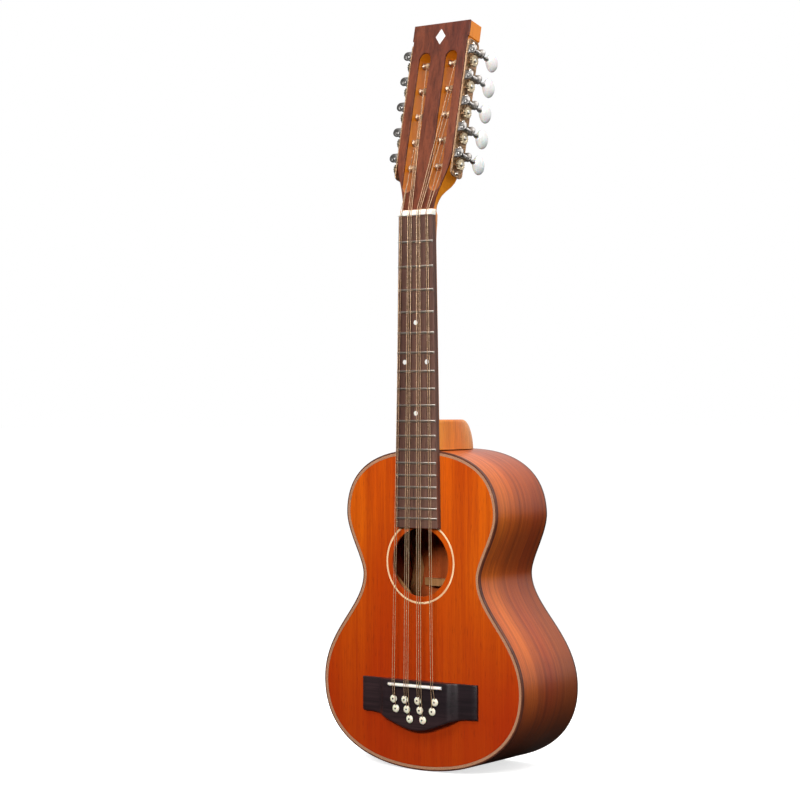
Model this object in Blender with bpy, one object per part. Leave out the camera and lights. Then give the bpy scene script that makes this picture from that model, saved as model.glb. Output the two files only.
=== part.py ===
import math

import bmesh
import bpy
from mathutils import Vector

# Ten-string tiple: a small guitar-shaped body, ten strings in four courses, slotted headstock.
# Lengths below are millimetres. X to the viewer's right, +Y to the back, +Z up the neck.
# Z = 0 is the joint between nut and fretboard, Y = 0 is the outer face of the soundboard.
MM = 0.001
FIT = 0.3

# scale and strings
SCALE_LENGTH = 431.8
STRINGS = 10
NUT_COURSES = (-14.6, -4.9, 4.9, 14.6)
SADDLE_COURSES = (-21.75, -7.25, 7.25, 21.75)
COURSE_SIZES = (2, 3, 3, 2)
NUT_PITCH = 1.9
SADDLE_PITCH = 2.3
PLAIN_R = 0.25
WOUND_R = 0.36
WOUND_STRINGS = (2, 4, 7, 9)
NUT_STRING_Y = -8.25
SADDLE_STRING_Y = -13.0

# fretboard and nut
NUT_WIDTH = 38.0
BOARD_END = 287.7
BOARD_END_WIDTH = 47.3
BOARD_TOP = -6.0
FRETS = 18
FRET_HEIGHT = 1.0
NUT_THICK = 5.2
NUT_TOP = -7.8

# body outline, right half: widest, narrowest and end points with their handle lengths
TOP_Z = -215.8
UPPER_HALF = 84.7
UPPER_Z = -275.0
WAIST_HALF = 65.6
WAIST_Z = -332.5
LOWER_HALF = 111.8
LOWER_Z = -433.8
TAIL_Z = -511.5
SHOULDER_PULL = 55.0
UPPER_PULL = 38.0
UPPER_TO_WAIST = 19.0
WAIST_TO_UPPER = 14.0
WAIST_TO_LOWER = 32.0
LOWER_TO_WAIST = 47.0
LOWER_PULL = 53.0
TAIL_PULL = 62.0
OUTLINE_STEPS = (8, 6, 7, 9)

# body depth, measured to the outer face of the tilted back
DEPTH_UPPER = 86.0
DEPTH_SLOPE = 0.0600
TOP_THICK = 2.6
BACK_THICK = 2.6
RIB_THICK = 2.2
BIND_FRONT = 4.0
BIND_BACK = 3.0
LINING_DEEP = 9.5
LINING_WIDE = 6.5

# sound hole, bridge, saddle and pins
HOLE_Z = -319.8
HOLE_R = 31.5
BRIDGE_HALF = 64.2
BRIDGE_TOP_Z = -428.5
BRIDGE_LOW_Z = -460.4
BELLY_DROP = 13.6
BELLY_HALF = 56.0
BRIDGE_HIGH = 9.0
WING_HIGH = 3.8
CROWN_HALF = 34.0
SCOOP_LENGTH = 12.0
SADDLE_HALF = 29.9
SADDLE_THICK = 2.8
SADDLE_TOP = -12.55
SADDLE_SLOT_DEEP = 5.0
PIN_ROWS = (-446.0, -454.7, -463.4)
PIN_X = (-23.6, -21.0, -10.9, -8.5, -5.4, 3.6, 6.1, 9.2, 19.9, 22.8)
PIN_ROW_OF = (0, 1, 0, 1, 2, 0, 1, 2, 1, 0)
PIN_HEAD_R = 3.8
PIN_SHANK_R = 2.15
PIN_HOLE_R = 3.62
SADDLE_Z = -SCALE_LENGTH - 1.0
STRING_OFFSET = 2.75

# headstock, measured in its own plane: S up the face, T into the wood
TILT = math.radians(13.2)
FACE_Y = -4.1
HEAD_BOTTOM = 6.4
HEAD_THICK = 19.8
VENEER = 1.8
HEAD_HALF = 31.7
SEAT_HALF = 30.4
# (height, half width, depth at the sides, depth along the middle); the sides step in for the plates
HEAD_STATIONS = (
    (HEAD_BOTTOM, 17.6, 6.5, 13.0),
    (11.0, 17.6, 6.6, 13.0),
    (16.0, 18.4, 7.5, 13.0),
    (21.0, 19.8, 9.2, 13.4),
    (26.0, 21.4, 12.7, 15.2),
    (31.0, 23.2, 17.0, 18.2),
    (36.0, 25.1, 19.2, HEAD_THICK),
    (41.0, 26.9, 19.5, HEAD_THICK),
    (47.0, 28.6, 19.5, HEAD_THICK),
    (54.0, 29.8, 19.5, HEAD_THICK),
    (64.0, SEAT_HALF, 19.5, HEAD_THICK),
    (173.0, SEAT_HALF, 19.5, HEAD_THICK),
    (173.6, HEAD_HALF, 19.5, HEAD_THICK),
    (187.3, HEAD_HALF, 19.5, HEAD_THICK),
    (188.9, 30.1, 19.5, HEAD_THICK),
)
HEAD_CROWN = 0.6
SLOT_X = 15.0
SLOT_HALF = 6.7
SLOT_LOW = 23.2
SLOT_HIGH = 160.6

# tuners
TUNERS_PER_SIDE = 5
STRING_LANES = (18.4, 17.4, 16.6, 16.3, 16.4)
POST_FIRST = 49.6
POST_PITCH = 25.3
POST_T = 9.0
ROLLER_R = 3.2
POST_R = 2.4
POST_HOLE_R = 2.62
WHEEL_R = 5.2
WHEEL_X = (33.9, 36.9)
WORM_RISE = 8.4
WORM_X = 36.2
WORM_R = 2.6
SHAFT_R = 1.45
SHAFT_HOLE_R = 1.57
PLATE_X = (30.7, 31.9)
PLATE_T = (0.8, 19.0)
PLATE_LOW = 37.8
PLATE_HIGH = 171.8
EAR_FRONT = (1.8, 3.4)
EAR_REAR = (15.6, 17.2)
EAR_HALF = 4.2
EAR_LIFT = 1.2
EAR_OUT = 41.6
EAR_CORNER = 1.8
BUTTON_T = 28.5


def half_width_at(z):
    """Fretboard half width at height z."""
    share = min(max(-z / BOARD_END, 0.0), 1.0)
    return 0.5 * (NUT_WIDTH + (BOARD_END_WIDTH - NUT_WIDTH) * share)


def back_y(z):
    """Outer face of the back plate at height z."""
    return DEPTH_UPPER + DEPTH_SLOPE * (UPPER_Z - z)


def head_point(x, s, t):
    """Point of the tilted headstock in body axes."""
    y = FACE_Y + s * math.sin(TILT) + t * math.cos(TILT)
    z = s * math.cos(TILT) - t * math.sin(TILT)
    return (x, y, z)


def bezier(a, b, c, d, steps):
    """Points of one span, without its last point."""
    points = []
    for i in range(steps):
        u = i / steps
        v = 1.0 - u
        w = (v * v * v, 3.0 * v * v * u, 3.0 * v * u * u, u * u * u)
        x = w[0] * a[0] + w[1] * b[0] + w[2] * c[0] + w[3] * d[0]
        z = w[0] * a[1] + w[1] * b[1] + w[2] * c[1] + w[3] * d[1]
        points.append((x, z))
    return points


def half_outline():
    """Right half of the body outline from the top centre to the tail centre."""
    top = (0.0, TOP_Z)
    upper = (UPPER_HALF, UPPER_Z)
    waist = (WAIST_HALF, WAIST_Z)
    lower = (LOWER_HALF, LOWER_Z)
    tail = (0.0, TAIL_Z)
    spans = (
        (top, (SHOULDER_PULL, TOP_Z), (UPPER_HALF, UPPER_Z + UPPER_PULL), upper),
        (upper, (UPPER_HALF, UPPER_Z - UPPER_TO_WAIST), (WAIST_HALF, WAIST_Z + WAIST_TO_UPPER), waist),
        (waist, (WAIST_HALF, WAIST_Z - WAIST_TO_LOWER), (LOWER_HALF, LOWER_Z + LOWER_TO_WAIST), lower),
        (lower, (LOWER_HALF, LOWER_Z - LOWER_PULL), (TAIL_PULL, TAIL_Z), tail),
    )
    points = []
    for span, steps in zip(spans, OUTLINE_STEPS):
        points += bezier(*span, steps)
    points.append(tail)
    return points


def inset_half(distance):
    """Right half outline moved inwards by a distance."""
    base = half_outline()
    mirrored = [(-base[1][0], base[1][1])] + base + [(-base[-2][0], base[-2][1])]
    moved = []
    for i in range(1, len(mirrored) - 1):
        before = Vector(mirrored[i]) - Vector(mirrored[i - 1])
        after = Vector(mirrored[i + 1]) - Vector(mirrored[i])
        n1 = Vector((before.y, -before.x)).normalized()
        n2 = Vector((after.y, -after.x)).normalized()
        bisect = (n1 + n2).normalized()
        step = distance / max(bisect.dot(n1), 0.3)
        moved.append((mirrored[i][0] + bisect.x * step, mirrored[i][1] + bisect.y * step))
    return moved


def full_ring(distance):
    """Whole outline moved inwards, starting at the top centre."""
    right = inset_half(distance)
    left = [(-x, z) for x, z in reversed(right[1:-1])]
    return right + left


def side_run(distance, start_x):
    """Right half outline moved inwards, cut off where it comes nearer than start_x at the top."""
    run = inset_half(distance)
    first = 0
    while run[first + 1][0] <= start_x:
        first += 1
    a = run[first]
    b = run[first + 1]
    share = (start_x - a[0]) / (b[0] - a[0])
    cut = (start_x, a[1] + (b[1] - a[1]) * share)
    return [cut] + run[first + 1:]


def make_object(name, verts, faces, material, smooth=False):
    """Closed mesh from millimetre points, with its normals turned outwards."""
    mesh = bpy.data.meshes.new(name)
    mesh.from_pydata([Vector(v) * MM for v in verts], [], faces)
    shell = bmesh.new()
    shell.from_mesh(mesh)
    bmesh.ops.recalc_face_normals(shell, faces=shell.faces)
    shell.to_mesh(mesh)
    shell.free()
    mesh.materials.append(material)
    for face in mesh.polygons:
        face.use_smooth = smooth
    obj = bpy.data.objects.new(name, mesh)
    bpy.context.scene.collection.objects.link(obj)
    return obj


def loft(name, rings, material, closed=False, smooth=False):
    """Skin over rings with equal point counts; open lofts get end caps."""
    count = len(rings[0])
    verts = [p for ring in rings for p in ring]
    faces = []
    spans = len(rings) if closed else len(rings) - 1
    for i in range(spans):
        low = i * count
        high = ((i + 1) % len(rings)) * count
        for j in range(count):
            k = (j + 1) % count
            faces.append((low + j, low + k, high + k, high + j))
    if not closed:
        faces.append(tuple(range(count)))
        faces.append(tuple(range((len(rings) - 1) * count, len(rings) * count)))
    return make_object(name, verts, faces, material, smooth)


def box(name, low, high, material):
    """Axis-aligned block."""
    rings = []
    for z in (low[2], high[2]):
        rings.append([(low[0], low[1], z), (high[0], low[1], z), (high[0], high[1], z), (low[0], high[1], z)])
    return loft(name, rings, material)


def colour(name, rgb, rough, metal=0.0):
    """Plain material for one sub-part."""
    material = bpy.data.materials.new(name)
    material.use_nodes = True
    shader = material.node_tree.nodes["Principled BSDF"]
    shader.inputs["Base Color"].default_value = (rgb[0], rgb[1], rgb[2], 1.0)
    shader.inputs["Roughness"].default_value = rough
    shader.inputs["Metallic"].default_value = metal
    return material


def cutter_colour():
    """Grey for the hidden cutting tools."""
    return colour("cutter_grey", (0.5, 0.5, 0.5), 0.5)


def combine(target, other, kind):
    """Exact boolean of one object with a hidden tool object."""
    tool = target.modifiers.new(kind.lower(), "BOOLEAN")
    tool.operation = kind
    tool.solver = "EXACT"
    tool.object = other
    other.hide_render = True
    other.display_type = "WIRE"


def cylinder_set(name, specs, sides, material):
    """Several separate cylinders in one tool: each is (start, end, radius)."""
    verts = []
    faces = []
    for start, end, radius in specs:
        axis = (Vector(end) - Vector(start)).normalized()
        side = axis.orthogonal().normalized()
        other = axis.cross(side)
        base = len(verts)
        for centre in (Vector(start), Vector(end)):
            for i in range(sides):
                a = 2.0 * math.pi * i / sides
                verts.append(centre + (side * math.cos(a) + other * math.sin(a)) * radius)
        for i in range(sides):
            j = (i + 1) % sides
            faces.append((base + i, base + j, base + sides + j, base + sides + i))
        faces.append(tuple(range(base, base + sides)))
        faces.append(tuple(range(base + sides, base + 2 * sides)))
    return make_object(name, verts, faces, material)


def pin_place(i):
    """Bridge pin centre (x, z) of string i, counted from 0."""
    return PIN_X[i], PIN_ROWS[PIN_ROW_OF[i]]


def pin_hole_cutter(name, y_low, y_high):
    """Ten holes through the bridge area."""
    specs = []
    for i in range(STRINGS):
        x, z = pin_place(i)
        specs.append(((x, y_low, z), (x, y_high, z), PIN_HOLE_R))
    return cylinder_set(name, specs, 8, cutter_colour())


def soundboard():
    """Flat front plate inside the front binding, with sound hole and pin holes."""
    ring = full_ring(BIND_FRONT + FIT)
    rings = [[(x, y, z) for x, z in ring] for y in (0.0, TOP_THICK)]
    plate = loft("soundboard", rings, colour("soundboard_wood", (0.55, 0.12, 0.01), 0.3))
    hole = ((0.0, -4.0, HOLE_Z), (0.0, TOP_THICK + 4.0, HOLE_Z), HOLE_R)
    combine(plate, cylinder_set("cut_sound_hole", [hole], 40, cutter_colour()), "DIFFERENCE")
    combine(plate, pin_hole_cutter("cut_top_pins", -4.0, TOP_THICK + 4.0), "DIFFERENCE")


def back_plate():
    """Flat back plate, tilted so that the body is deepest at the tail."""
    ring = full_ring(BIND_BACK + FIT)
    rings = []
    for inner in (BACK_THICK, 0.0):
        rings.append([(x, back_y(z) - inner, z) for x, z in ring])
    loft("back_plate", rings, colour("back_wood", (0.30, 0.10, 0.03), 0.3))


def binding(name, wide, front):
    """Edge strip around the front or the back plate."""
    outer = full_ring(0.0)
    inner = full_ring(wide)
    rings = []
    for i in range(len(outer)):
        ox, oz = outer[i]
        ix, iz = inner[i]
        if front:
            y_out = (0.0, TOP_THICK)
            y_in = (0.0, TOP_THICK)
        else:
            y_out = (back_y(oz) - BACK_THICK, back_y(oz))
            y_in = (back_y(iz) - BACK_THICK, back_y(iz))
        rings.append([(ox, y_out[0], oz), (ox, y_out[1], oz), (ix, y_in[1], iz), (ix, y_in[0], iz)])
    loft(name, rings, colour(name + "_mat", (0.20, 0.09, 0.05), 0.35), closed=True)


def rib(name, sign):
    """One bent side, from the neck block round to the tail joint."""
    outer = side_run(0.0, 8.0)
    inner = side_run(RIB_THICK, 8.0)
    rings = []
    count = len(outer)
    for i in range(count):
        ox, oz = outer[i]
        ix, iz = inner[i]
        if i == count - 1:
            ox = 0.15
            ix = 0.15
        rings.append([
            (sign * ox, TOP_THICK + FIT, oz),
            (sign * ox, back_y(oz) - BACK_THICK - FIT, oz),
            (sign * ix, back_y(iz) - BACK_THICK - FIT, iz),
            (sign * ix, TOP_THICK + FIT, iz),
        ])
    loft(name, rings, colour(name + "_wood", (0.35, 0.12, 0.04), 0.25))


def lining(name, front):
    """Strip glued inside the ribs that widens the joint with a plate."""
    gap = RIB_THICK + FIT
    outer = side_run(gap, 31.0)
    inner = side_run(gap + LINING_WIDE, 31.0)
    toe = side_run(gap + 2.2, 31.0)
    stations = []
    for i in range(len(outer)):
        ox, oz = outer[i]
        ix, iz = inner[i]
        tx, tz = toe[i]
        if front:
            y = TOP_THICK + FIT
            section = [(ox, y, oz), (ix, y, iz), (tx, y + LINING_DEEP, tz), (ox, y + LINING_DEEP, oz)]
        else:
            y = -BACK_THICK - FIT
            section = [
                (ox, back_y(oz) + y, oz),
                (ix, back_y(iz) + y, iz),
                (tx, back_y(tz) + y - LINING_DEEP, tz),
                (ox, back_y(oz) + y - LINING_DEEP, oz),
            ]
        stations.append(section)
    mirrored = [[(-x, y, z) for x, y, z in section] for section in reversed(stations[:-1])]
    loft(name, stations + mirrored, colour(name + "_wood", (0.45, 0.22, 0.08), 0.6))


def tail_block():
    """Block behind the tail joint of the two sides."""
    low = TOP_THICK + LINING_DEEP + 2.0 * FIT
    rings = []
    for z in (-506.6, -494.0):
        high = back_y(z) - BACK_THICK - LINING_DEEP - 3.0 * FIT
        rings.append([(-22.0, low, z), (22.0, low, z), (22.0, high, z), (-22.0, high, z)])
    loft("tail_block", rings, colour("tail_wood", (0.5, 0.25, 0.1), 0.6))


def bar(name, start, end, wide, seat, tall, material):
    """Straight brace between two (x, z) points, with scalloped ends; tall may be negative."""
    a = Vector(start)
    b = Vector(end)
    along = (b - a).normalized()
    side = Vector((-along.y, along.x)) * (wide * 0.5)
    rings = []
    for share, height in ((0.0, 0.35), (0.12, 1.0), (0.88, 1.0), (1.0, 0.35)):
        c = a + (b - a) * share
        low = seat(c.y)
        top = low + tall * height
        rings.append([
            (c.x - side.x, low, c.y - side.y),
            (c.x + side.x, low, c.y + side.y),
            (c.x + side.x, top, c.y + side.y),
            (c.x - side.x, top, c.y - side.y),
        ])
    return loft(name, rings, material)


def top_bracing():
    """Crossed braces glued behind the soundboard, below the sound hole."""
    material = colour("top_bracing_wood", (0.6, 0.4, 0.2), 0.6)

    def seat(z):
        return TOP_THICK + FIT

    first = bar("top_bracing", (-56.0, -315.5), (80.0, -454.5), 6.0, seat, 9.0, material)
    second = bar("top_brace_tool", (56.0, -315.5), (-80.0, -454.5), 6.0, seat, 9.0, material)
    combine(first, second, "UNION")


def back_bracing():
    """Centre strip with three cross bars glued inside the back plate."""
    material = colour("back_bracing_wood", (0.6, 0.4, 0.2), 0.6)

    def seat(z):
        return back_y(z) - BACK_THICK - FIT

    spine = bar("back_bracing", (0.0, -246.0), (0.0, -490.0), 18.0, seat, -3.0, material)
    for i, (z, half) in enumerate(((-272.0, 70.0), (-345.0, 54.0), (-430.0, 96.0))):
        cross = bar("back_brace_tool_%d" % i, (-half, z), (half, z), 7.0, seat, -9.0, material)
        combine(spine, cross, "UNION")


def bridge_height(x):
    """Height of the bridge above the soundboard at x."""
    outside = max(abs(x) - CROWN_HALF, 0.0) / SCOOP_LENGTH
    share = min(outside, 1.0)
    ease = (1.0 - math.cos(math.pi * share)) * 0.5
    tip = max(abs(x) - (BRIDGE_HALF - 6.0), 0.0) / 6.0
    return BRIDGE_HIGH + (WING_HIGH - BRIDGE_HIGH) * ease - 1.2 * tip * tip


def bridge_low(x):
    """Lower edge of the bridge at x, dropping in a belly at the centre."""
    share = min(abs(x) / BELLY_HALF, 1.0)
    return BRIDGE_LOW_Z - BELLY_DROP * 0.5 * (1.0 + math.cos(math.pi * share))


def bridge():
    """Pin bridge with a belly, scooped wings, a saddle slot and ten pin holes."""
    stations = [0.0, 11.0, 22.0, 33.0, 37.0, 40.0, 43.0, 46.0, 52.0, 58.2, 62.0, BRIDGE_HALF]
    places = [-x for x in reversed(stations[1:])] + stations
    rings = []
    for x in places:
        high = -bridge_height(x)
        low = bridge_low(x)
        rings.append([
            (x, -FIT, BRIDGE_TOP_Z),
            (x, high + 0.8, BRIDGE_TOP_Z),
            (x, high, BRIDGE_TOP_Z - 0.9),
            (x, high, low + 2.4),
            (x, high + 1.4, low),
            (x, -FIT, low),
        ])
    body = loft("bridge", rings, colour("bridge_wood", (0.03, 0.02, 0.02), 0.4))
    z = SADDLE_Z
    half = SADDLE_THICK * 0.5 + 0.1
    slot = box(
        "cut_saddle_slot",
        (-SADDLE_HALF - FIT, -BRIDGE_HIGH - 4.0, z - half),
        (SADDLE_HALF + FIT, -BRIDGE_HIGH + SADDLE_SLOT_DEEP, z + half),
        cutter_colour(),
    )
    combine(body, slot, "DIFFERENCE")
    combine(body, pin_hole_cutter("cut_bridge_pins", -BRIDGE_HIGH - 4.0, 4.0), "DIFFERENCE")


def saddle():
    """Bone saddle with a rounded crown, standing in the bridge slot."""
    z = SADDLE_Z
    half = SADDLE_THICK * 0.5
    low = -BRIDGE_HIGH + SADDLE_SLOT_DEEP - 0.2
    rings = []
    for x in (-SADDLE_HALF, -SADDLE_HALF + 1.5, SADDLE_HALF - 1.5, SADDLE_HALF):
        drop = 1.4 if abs(x) == SADDLE_HALF else 0.0
        rings.append([
            (x, low, z - half),
            (x, low, z + half),
            (x, SADDLE_TOP + 1.0 + drop, z + half),
            (x, SADDLE_TOP + drop, z + half * 0.35),
            (x, SADDLE_TOP + drop, z - half * 0.35),
            (x, SADDLE_TOP + 1.0 + drop, z - half),
        ])
    loft("saddle", rings, colour("saddle_bone", (0.9, 0.88, 0.8), 0.35))


def bridge_plate():
    """Hardwood plate glued behind the soundboard under the bridge."""
    y = TOP_THICK + FIT
    low = (-40.0, y, -476.0)
    high = (40.0, y + 2.4, -432.0)
    plate = box("bridge_plate", low, high, colour("plate_wood", (0.4, 0.2, 0.1), 0.6))
    combine(plate, pin_hole_cutter("cut_plate_pins", y - 4.0, y + 6.0), "DIFFERENCE")


def bridge_pin(i):
    """Tapered bridge pin; its head is notched on the saddle side for the string."""
    x, z = pin_place(i)
    sides = 8
    profile = (
        (10.0, 1.0, 1.0),
        (8.8, 1.75, 1.75),
        (-9.25, PIN_SHANK_R, PIN_SHANK_R),
        (-9.3, PIN_HEAD_R, PIN_SHANK_R),
        (-10.2, 3.0, 2.1),
        (-10.9, 1.5, 1.4),
    )
    rings = []
    for y, radius, notch in profile:
        ring = []
        for k in range(sides):
            a = 2.0 * math.pi * k / sides
            r = notch if k == 0 else radius
            ring.append((r * math.sin(a), y, r * math.cos(a)))
        rings.append(ring)
    pin = loft("bridge_pin_%d" % (i + 1), rings, colour("pin_%d_mat" % (i + 1), (0.88, 0.82, 0.68), 0.3))
    pin.location = (x * MM, 0.0, z * MM)


def neck_section(z, half, deep, power):
    """Rounded cross-section with a flat front; power 1 is a half oval, power 2 a soft V."""
    steps = 12
    ring = []
    for k in range(steps + 1):
        a = math.pi * k / steps
        ring.append((half * math.cos(a), deep * math.sin(a) ** power, z))
    return ring


def neck_shaft():
    """Neck shaft and heel as one skin from the nut to the body."""
    stations = (
        (9.0, 17.2, 13.4, 2.0),
        (6.0, 17.8, 13.2, 2.0),
        (5.4, 18.7, 13.0, 2.0),
        (0.0, 18.8, 13.0, 2.0),
        (-60.0, half_width_at(-60.0) - 0.2, 13.6, 2.0),
        (-120.0, half_width_at(-120.0) - 0.2, 14.2, 2.0),
        (-180.0, half_width_at(-180.0) - 0.2, 14.8, 2.0),
        (-187.2, half_width_at(-187.2) - 0.2, 16.0, 1.8),
        (-188.6, half_width_at(-188.6) - 0.2, 62.5, 1.0),
        (-190.5, half_width_at(-190.5) - 0.2, 67.0, 1.0),
        (-195.0, half_width_at(-195.0) - 0.2, 72.4, 1.0),
        (-203.0, half_width_at(-203.0) - 0.2, 77.4, 1.0),
        (-210.0, half_width_at(-210.0) - 0.2, 79.6, 1.0),
        (TOP_Z + FIT, half_width_at(TOP_Z) - 0.2, 80.2, 1.0),
    )
    rings = [neck_section(z, half, deep, power) for z, half, deep, power in stations]
    return loft("neck", rings, colour("neck_wood", (0.55, 0.25, 0.08), 0.3))


def head_core(name, t_front, material):
    """Headstock wood from the nut to the top; near the nut its back is scooped into the neck."""
    rings = []
    for s, half, t_side, t_middle in HEAD_STATIONS:
        crown = half * HEAD_CROWN
        section = (
            (-half, t_front),
            (half, t_front),
            (half, t_side),
            (crown, t_middle),
            (-crown, t_middle),
            (-half, t_side),
        )
        rings.append([head_point(x, s, t) for x, t in section])
    return loft(name, rings, material)


def head_sheet(name, t_front, t_back, material):
    """Flat sheet with the headstock outline."""
    rings = []
    for s, half, _, _ in HEAD_STATIONS:
        corners = ((-half, t_front), (half, t_front), (half, t_back), (-half, t_back))
        rings.append([head_point(x, s, t) for x, t in corners])
    return loft(name, rings, material)


def slot_cutter(name, t_front, t_back):
    """Two long slots with round ends."""
    verts = []
    faces = []
    for sign in (-1.0, 1.0):
        shape = []
        for k in range(7):
            a = math.pi * k / 6
            shape.append((SLOT_HALF * math.cos(a), SLOT_HIGH - SLOT_HALF + SLOT_HALF * math.sin(a)))
        for k in range(7):
            a = math.pi + math.pi * k / 6
            shape.append((SLOT_HALF * math.cos(a), SLOT_LOW + SLOT_HALF + SLOT_HALF * math.sin(a)))
        count = len(shape)
        base = len(verts)
        for t in (t_front, t_back):
            for x, s in shape:
                verts.append(head_point(x + sign * SLOT_X, s, t))
        for j in range(count):
            k = (j + 1) % count
            faces.append((base + j, base + k, base + count + k, base + count + j))
        faces.append(tuple(range(base, base + count)))
        faces.append(tuple(range(base + count, base + 2 * count)))
    return make_object(name, verts, faces, cutter_colour())


def post_height(k):
    """Height along the headstock of post k, counted from the nut."""
    return POST_FIRST + POST_PITCH * k


def neck():
    """Neck, heel, inner foot block and slotted headstock, carved as one piece."""
    wood = neck_shaft()
    tool_mat = colour("tool_wood", (0.5, 0.3, 0.1), 0.5)
    head = head_core("head_tool", VENEER + FIT, tool_mat)
    combine(wood, head, "UNION")
    web = box("web_tool", (-7.5, 3.4, -221.5), (7.5, 78.4, TOP_Z + 2.0), tool_mat)
    combine(wood, web, "UNION")
    block = box("foot_tool", (-27.5, 3.4, -243.0), (27.5, 76.5, -220.6), tool_mat)
    combine(wood, block, "UNION")
    combine(wood, slot_cutter("cut_head_slots", -6.0, HEAD_THICK + 6.0), "DIFFERENCE")
    specs = []
    for k in range(TUNERS_PER_SIDE):
        for sign in (-1.0, 1.0):
            start = head_point(sign * 5.2, post_height(k), POST_T)
            end = head_point(sign * (HEAD_HALF + 5.0), post_height(k), POST_T)
            specs.append((start, end, POST_HOLE_R))
    holes = cylinder_set("cut_post_holes", specs, 12, tool_mat)
    combine(wood, holes, "DIFFERENCE")


def headstock_veneer():
    """Thin face veneer on the headstock, with the same two slots."""
    material = colour("veneer_wood", (0.12, 0.04, 0.03), 0.3)
    face = head_sheet("headstock_veneer", 0.0, VENEER, material)
    combine(face, slot_cutter("cut_veneer_slots", -6.0, VENEER + 6.0), "DIFFERENCE")


def fretboard():
    """Tapered fingerboard with its frets, over neck and soundboard."""
    stations = [(-FIT, BOARD_TOP)]
    for n in range(1, FRETS + 1):
        z = -SCALE_LENGTH * (1.0 - 2.0 ** (-n / 12.0))
        stations += [
            (z + 1.1, BOARD_TOP),
            (z + 0.7, BOARD_TOP - FRET_HEIGHT),
            (z - 0.7, BOARD_TOP - FRET_HEIGHT),
            (z - 1.1, BOARD_TOP),
        ]
    stations.append((-BOARD_END, BOARD_TOP))
    rings = []
    for z, top in stations:
        half = half_width_at(z)
        rings.append([(-half, top, z), (half, top, z), (half, -FIT, z), (-half, -FIT, z)])
    loft("fretboard", rings, colour("fretboard_wood", (0.16, 0.10, 0.08), 0.45))


def nut():
    """Bone nut across the head end of the fretboard."""
    half = NUT_WIDTH * 0.5
    rings = []
    for x in (-half, half):
        rings.append([
            (x, -FIT, 0.0),
            (x, NUT_TOP + 0.3, 0.0),
            (x, NUT_TOP, 0.4),
            (x, NUT_TOP, 2.6),
            (x, NUT_TOP + 1.6, NUT_THICK),
            (x, -FIT, NUT_THICK),
        ])
    loft("nut", rings, colour("nut_bone", (0.92, 0.9, 0.84), 0.35))


def course_spots(centres, pitch):
    """Sideways place of each string, from the course centres."""
    spots = []
    for centre, size in zip(centres, COURSE_SIZES):
        for k in range(size):
            spots.append(centre + pitch * (k - (size - 1) * 0.5))
    return spots


def tuner_of(i):
    """Side (-1 or 1) and post number of string i, both counted from 0."""
    if i < TUNERS_PER_SIDE:
        return -1.0, i
    return 1.0, STRINGS - 1 - i


def tube(name, path, radius, sides, material):
    """Round wire swept along a path of points."""
    points = [Vector(p) for p in path]
    rings = []
    side = None
    for i, point in enumerate(points):
        before = points[max(i - 1, 0)]
        after = points[min(i + 1, len(points) - 1)]
        axis = (after - before).normalized()
        if side is None:
            side = axis.orthogonal().normalized()
        side = (side - axis * side.dot(axis)).normalized()
        other = axis.cross(side)
        ring = []
        for k in range(sides):
            a = 2.0 * math.pi * k / sides
            ring.append(point + (side * math.cos(a) + other * math.sin(a)) * radius)
        rings.append(ring)
    return loft(name, rings, material, smooth=True)


def string(i):
    """One string from its roller over nut and saddle down beside its pin."""
    radius = WOUND_R if i + 1 in WOUND_STRINGS else PLAIN_R
    side, k = tuner_of(i)
    wind = ROLLER_R + 0.35 + radius
    lane = side * STRING_LANES[k]
    nut_x = course_spots(NUT_COURSES, NUT_PITCH)[i]
    saddle_x = course_spots(SADDLE_COURSES, SADDLE_PITCH)[i]
    pin_x, pin_z = pin_place(i)
    path = []
    turns = (200.0, 150.0, 100.0, 50.0, 12.0)
    for n, degrees in enumerate(turns):
        a = math.radians(degrees)
        s = post_height(k) + wind * math.sin(a)
        t = POST_T - wind * math.cos(a)
        path.append(head_point(lane - side * 0.35 * (len(turns) - 1 - n), s, t))
    path.append((nut_x, NUT_STRING_Y + 0.35, 3.4))
    path.append((nut_x, NUT_STRING_Y, 1.6))
    path.append((saddle_x, SADDLE_STRING_Y, SADDLE_Z + 0.5))
    path.append((saddle_x, SADDLE_STRING_Y + 0.08, SADDLE_Z - 0.8))
    path.append((pin_x, -10.15, pin_z + STRING_OFFSET + 0.5))
    path.append((pin_x, -9.6, pin_z + STRING_OFFSET))
    path.append((pin_x, 7.5, pin_z + STRING_OFFSET))
    material = colour("string_%d_mat" % (i + 1), (0.75, 0.72, 0.68), 0.25, 1.0)
    tube("string_%d" % (i + 1), path, radius, 5, material)


def turned(name, rings, material):
    """Piece turned about its own Z axis: rings are (height, x radius, y radius)."""
    sides = 12
    loops = []
    for height, rx, ry in rings:
        loop = []
        for k in range(sides):
            a = 2.0 * math.pi * k / sides
            loop.append((rx * math.cos(a), ry * math.sin(a), height))
        loops.append(loop)
    return loft(name, loops, material, smooth=True)


def string_post(i):
    """Roller post with its gear wheel; it turns about the X direction."""
    side, k = tuner_of(i)
    rings = (
        (5.6, POST_R, POST_R),
        (8.6, POST_R, POST_R),
        (8.65, ROLLER_R, ROLLER_R),
        (21.35, ROLLER_R, ROLLER_R),
        (21.4, POST_R, POST_R),
        (WHEEL_X[0] - 0.05, POST_R, POST_R),
        (WHEEL_X[0], WHEEL_R, WHEEL_R),
        (WHEEL_X[1], WHEEL_R, WHEEL_R),
        (WHEEL_X[1] + 0.05, 2.0, 2.0),
        (WHEEL_X[1] + 1.0, 1.8, 1.8),
    )
    material = colour("post_%d_mat" % (i + 1), (0.5, 0.45, 0.35), 0.4, 1.0)
    post = turned("string_post_%d" % (i + 1), rings, material)
    x, y, z = head_point(0.0, post_height(k), POST_T)
    post.location = (x * MM, y * MM, z * MM)
    post.rotation_euler = (0.0, side * math.pi * 0.5, 0.0)


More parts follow.
